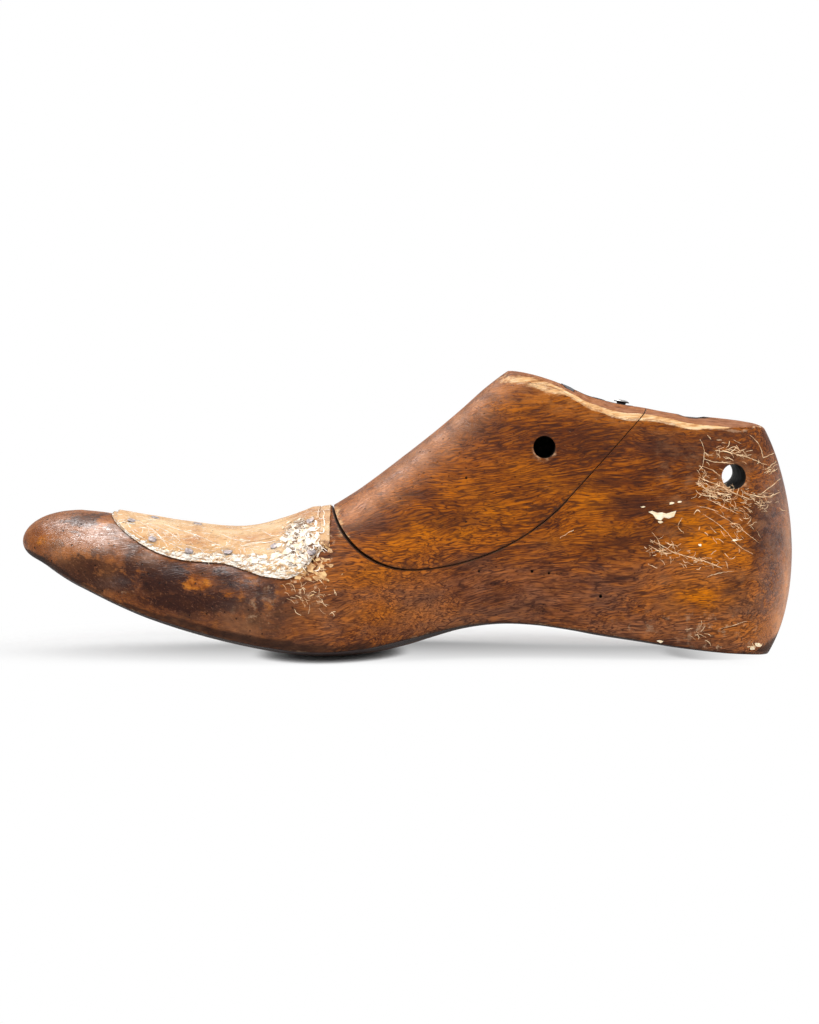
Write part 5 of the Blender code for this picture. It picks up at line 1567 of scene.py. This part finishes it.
def flake(bm, rim, low, high, rng):
    """A thin curled chip: a rim of surface points, and a middle that stands off the wood."""
    middle = sum((p for p, _ in rim), Vector()) / len(rim)
    outward = sum((n for _, n in rim), Vector()).normalized()
    under = [bm.verts.new(p + n * 0.02 * MM) for p, n in rim]
    over = [bm.verts.new(p + n * MM * rng.uniform(low, high)) for p, n in rim]
    top = bm.verts.new(middle + outward * MM * (low + high) * 0.6)
    floor = bm.verts.new(middle + outward * 0.02 * MM)
    for i in range(len(rim)):
        j = (i + 1) % len(rim)
        bm.faces.new((over[i], over[j], top))
        bm.faces.new((under[j], under[i], floor))
        bm.faces.new((under[i], under[j], over[j], over[i]))


def build_fray():
    """The torn, whitened edge of the fitting: chips and curled shreds of leather."""
    rng = random.Random(33)
    bm = bmesh.new()

    def leather_at(d, share, lift):
        point, outward = fitting_surface(d, share)
        return (point + outward * lift) * MM, outward

    spots = []
    for _ in range(INNER_CHIPS):
        spots.append((rng.uniform(182, 240), -rng.uniform(0.88, 0.985), rng.uniform(0.3, 0.7)))
    for _ in range(CORNER_CHIPS):
        d, share = rng.gauss(184.5, 3.6), -min(0.97, max(0.3, rng.gauss(0.66, 0.18)))
        spots.append((d, share, rng.uniform(0.4, 1.2)))
    for _ in range(OUTER_CHIPS):
        spots.append((rng.uniform(178, 248), rng.uniform(0.88, 0.985), rng.uniform(0.3, 0.8)))
    for d, share, size in spots:
        if not FITTING_REAR + 5 < d < FITTING_FRONT - 2 or -share > torn_reach(d) - 0.03:
            continue
        over = UPPER_REAR < d and abs(share) < UPPER_MARGIN - 0.02
        lift = lower_thickness(d, share)
        if over:
            lift += upper_thickness(d, share)
        centre, outward = leather_at(d, share, lift)
        turn = rng.uniform(0, 2 * pi)
        basis = outward.to_track_quat("Z", "Y").to_matrix()
        rim = []
        for k in range(6):
            a = k * pi / 3
            out = size * rng.uniform(0.45, 1.0) * MM
            local = Vector((out * cos(a) * 1.6, out * sin(a) * 0.7, 0))
            local.rotate(Matrix.Rotation(turn, 3, "Z"))
            rim.append((centre + basis @ local, outward))
        flake(bm, rim, 0.04, 0.35, rng)
    for _ in range(CORNER_SHREDS):
        d, share = rng.gauss(186, 6), -rng.uniform(0.45, 1.02)
        if not FITTING_REAR + 4 < d < FITTING_FRONT - 2 or -share > torn_reach(d) - 0.02:
            continue
        centre, outward = leather_at(d, share, lower_thickness(d, min(abs(share), 1.0)) + 0.2)
        heading = Vector((rng.gauss(0, 1), rng.gauss(0, 0.4), rng.gauss(-0.4, 0.6))).normalized()
        path = [
            centre + heading * k * rng.uniform(0.5, 1.1) * MM + outward * rng.uniform(0.1, 0.7) * MM
            for k in range(4)
        ]
        ribbon(bm, path, rng.uniform(0.07, 0.16) * MM)
    shreds = thread_look("whitened_leather", (0.60, 0.375, 0.18), (0.92, 0.83, 0.68))
    finish_piece("leather_shreds", mesh_from(bm, "leather_shreds"), shreds, "last", ())


# White lines scored in the leather, and others beside it: pixels of the photograph.
LEATHER_SCORES = (
    ((140, 522), (156, 532), (168, 547)), ((149, 524), (160, 528), (172, 534), (180, 541)),
    ((164, 524), (180, 530), (196, 535), (210, 541), (220, 546)),
    ((158, 538), (168, 542), (178, 547), (186, 551)), ((180, 543), (192, 547), (206, 550), (220, 551)),
    ((118, 521), (126, 530), (138, 541), (152, 548), (168, 552)), ((242, 549), (252, 547), (262, 547)),
    ((260, 543), (270, 542), (276, 540)), ((192, 520), (200, 523), (206, 525)),
    ((320, 508), (324, 512), (323, 518), (319, 518), (318, 512), (320, 508)),
    ((335, 504), (334, 509), (338, 513), (341, 511), (340, 508)), ((311, 524), (316, 527), (321, 527)),
    ((301, 530), (306, 526), (313, 528), (318, 533)), ((128, 524), (134, 532), (146, 540)),
    ((222, 534), (236, 540), (250, 541)), ((262, 531), (274, 536), (282, 534)),
    ((284, 528), (292, 524), (300, 526)),
)
# Chips of leather: pixels of the photograph, half length and half height there, and the turn in degrees.
WHITE_CHIPS = (
    (304, 533, 5, 3, -50), (311, 529, 5, 2, -15), (317, 536, 4, 3.4, 60), (308, 542, 4, 3, 10),
    (313, 541, 3, 3, 40), (301, 540, 4, 2.4, -30), (297, 546, 5, 3, 10), (288, 551, 6, 3, -10),
    (276, 555, 7, 3, 5), (264, 557, 6, 2.6, 0), (307, 553, 6, 1.3, 50), (312, 552, 6, 1.2, 60),
    (318, 555, 5, 1.2, -65), (303, 557, 5, 1.2, 35), (322, 549, 4, 1.3, -50), (292, 560, 6, 3, 10),
    (281, 563, 7, 3, -4), (300, 565, 5, 2, 20), (284, 540, 5, 2.4, 20), (278, 546, 5, 2, -20),
    (252, 561, 7, 2.4, 4), (238, 560, 6, 2, -6), (296, 531, 4, 2, 30), (290, 524, 4, 1.8, 15),
)
TAN_CHIPS = (
    (303, 572, 6, 4, 10), (311, 568, 5, 4, -20), (323, 575, 5, 4, 15), (327, 546, 4, 3, 0),
    (330, 551, 3, 2.4, 30), (316, 578, 5, 3, 0), (308, 579, 4, 2, 20), (298, 578, 4, 2.4, -10),
    (321, 566, 4, 3, 40), (326, 560, 3, 2, -30), (296, 569, 4, 3, 0), (331, 566, 3, 2, 20),
    (318, 560, 3, 2, -10), (290, 573, 4, 2, 8),
)


def chips_mesh(name, chips, zones, high_lift, rng):
    """Chips at given places, and more of them scattered about the zones (x, y, spread, spread, number)."""
    bm = bmesh.new()
    placed = [(x, y, wide, high, radians(turn)) for x, y, wide, high, turn in chips]
    for x, y, across, down, count in zones:
        for _ in range(count):
            wide = rng.uniform(1.0, 3.6)
            place = (rng.gauss(x, across), rng.gauss(y, down))
            placed.append((*place, wide, wide * rng.uniform(0.2, 0.5), rng.gauss(0.2, 0.9)))
    for x, y, wide, high, turn in placed:
        rim = []
        for k in range(9):
            a = 2 * pi * k / 9 + rng.uniform(-0.3, 0.3)
            out = rng.uniform(0.5, 1.25)
            across, down = wide * out * cos(a), high * out * sin(a)
            px = x + across * cos(turn) - down * sin(turn)
            rim.append(seen_on_top(px, y + across * sin(turn) + down * cos(turn)))
        depths = [p.y for p, _ in rim if p]
        if len(depths) == 9 and max(depths) - min(depths) < 5 * MM:
            flake(bm, rim, 0.03, min(high_lift, 0.08 * wide + 0.05), rng)
    return mesh_from(bm, name)


def build_chips():
    """Chips and scores where the fitting's rear corner is torn away."""
    rng = random.Random(51)
    white = thread_look("scraped_leather", (0.72, 0.545, 0.36), (0.97, 0.93, 0.87))
    tan = thread_look("flaked_leather", (0.38, 0.180, 0.055), (0.70, 0.450, 0.200))
    for name, look, chips, zones, high_lift in (
        ("white_chips", white, WHITE_CHIPS, ((302, 543, 11, 9, 14), (268, 557, 26, 4, 16)), 0.5),
        ("tan_chips", tan, TAN_CHIPS, ((316, 566, 9, 8, 34), (290, 566, 16, 5, 26)), 0.16),
    ):
        mesh = chips_mesh(name, chips, zones, high_lift, rng)
        finish_piece(name, mesh, look, "last", ())
    bm = bmesh.new()
    for corners in LEATHER_SCORES:
        strand_over(bm, corners, rng.uniform(0.10, 0.16), 0.05, rng, seen_on_top)
    for _ in range(CORNER_CURLS):
        x, y = rng.gauss(308, 8), rng.gauss(544, 10)
        heading, bend = rng.uniform(-2.2, 1.2), rng.uniform(-1.3, 1.3)
        corners = wandering(x, y, heading, bend, 2.6, 1)
        strand_over(bm, corners, rng.uniform(0.14, 0.30), 0.30, rng, seen_on_top)
    for _ in range(FINE_SCORES):
        x, y = rng.uniform(128, 318), rng.uniform(518, 562)
        on_top, on_wood = seen_on_top(x, y)[0], seen(x, y)[0]
        if not on_top or not on_wood or (on_top - on_wood).length < 0.4 * MM:
            continue
        heading, bend, length = rng.gauss(0.35, 0.5), rng.uniform(-0.7, 0.7), rng.uniform(3, 11)
        corners = wandering(x, y, heading, bend, length)
        strand_over(bm, corners, rng.uniform(0.05, 0.11), 0.04, rng, seen_on_top)
    finish_piece("leather_scores", mesh_from(bm, "leather_scores"), white, "last", ())


def seen_unlit(rays):
    """Whether a ray comes from the camera, or by way of glass or a mirror, so that white stays white."""
    return rays["Is Camera Ray"].or_more(rays["Is Glossy Ray"]).or_more(rays["Is Transmission Ray"])


def build_stage():
    """A white floor and surroundings, soft lamps, and the photograph's camera."""
    scene = bpy.context.scene
    bm = bmesh.new()
    bmesh.ops.create_circle(bm, cap_ends=True, segments=96, radius=FLOOR_RADIUS)
    floor = add_object("floor", mesh_from(bm, "floor"))
    floor.location.z = cad_low.z - FLOOR_DROP
    look = Look("white_floor")
    glow = look.add("ShaderNodeEmission", {"Color": WHITE, "Strength": 1.0})
    look.shader.inputs["Roughness"].default_value = 0.9
    rays = look.add("ShaderNodeLightPath")
    look.feed(look.shader.inputs["Base Color"], look.math("MULTIPLY_ADD", rays["Is Camera Ray"], -0.2, 0.86))
    oval = look.scaled((172, 140, 100000), shift=(32, 0, 0))
    near = look.add("ShaderNodeVectorMath", {0: oval}, operation="LENGTH")["Value"]
    depth = look.add("ShaderNodeSeparateXYZ", {0: look.place})["Y"]
    open_above = look.add("ShaderNodeAmbientOcclusion", {"Distance": 0.0045}, samples=8)["AO"]
    forward = look.math("MULTIPLY_ADD", depth, -9.0, 0.6, clamp=True) * open_above.step(0.15, 0.75)
    lit = near.step(0.62, 1.0).or_more(forward)
    look.surface(seen_unlit(rays) * lit, Value(look, look.shader.outputs[0]), glow[0])
    floor.data.materials.append(look.owner)

    sky = Look("studio", bpy.data.worlds)
    lit = sky.tree.nodes["Background"]
    lit.inputs["Color"].default_value, lit.inputs["Strength"].default_value = WHITE, SKY_STRENGTH
    shown = sky.add("ShaderNodeBackground", {"Color": WHITE, "Strength": 1.0})
    sky.surface(seen_unlit(sky.add("ShaderNodeLightPath")), Value(sky, lit.outputs[0]), shown[0])
    scene.world = sky.owner

    # Each lamp's place, width, depth and power.
    lamps = (
        ("key_left", (-0.75, -0.85, 0.95), 0.8, 0.8, 6.5), ("overhead", (-0.05, -0.35, 1.3), 1.2, 0.9, 9.5),
        ("fill_right", (1.0, -0.35, 0.45), 0.5, 0.8, 3.0),
        ("softbox_gloss", (-0.42, 0.38, 1.1), 1.2, 0.36, 30.0),
    )
    for name, place, width, depth, power in lamps:
        data = bpy.data.lights.new(name, "AREA")
        data.shape, data.size, data.size_y, data.energy = "RECTANGLE", width, depth, power
        back = (Vector(place) - LAMPS_AIM).normalized()
        wide = (Vector((1, 0, 0)) - back * back.x).normalized()
        turn = Matrix((wide, back.cross(wide), back)).transposed()
        lamp = add_object(name, data, scene.collection, Matrix.Translation(place) @ turn.to_4x4())
        lamp.visible_diffuse = name != "softbox_gloss"

    data = bpy.data.cameras.new("camera")
    data.sensor_width = SENSOR_WIDTH
    data.lens = FOCAL_PIXELS * SENSOR_WIDTH / IMAGE_HEIGHT
    data.clip_start, data.clip_end = 0.05, 50.0
    camera = add_object("camera", data, scene.collection)
    scale = CAMERA_DISTANCE / FOCAL_PIXELS
    side, lift = (IMAGE_WIDTH / 2 - AIM_PIXEL[0]) * scale, (AIM_PIXEL[1] - IMAGE_HEIGHT / 2) * scale
    camera.location = EYE + Vector((side, 0, 0)) + UPWARD * lift
    camera.rotation_euler = (pi / 2 - CAMERA_ELEVATION, 0, 0)
    scene.camera = camera
    scene.view_settings.view_transform = "Standard"


build_wood()
build_steel()
build_leather()
build_residue()
build_fray()
build_chips()
build_stage()

bpy.context.view_layer.update()
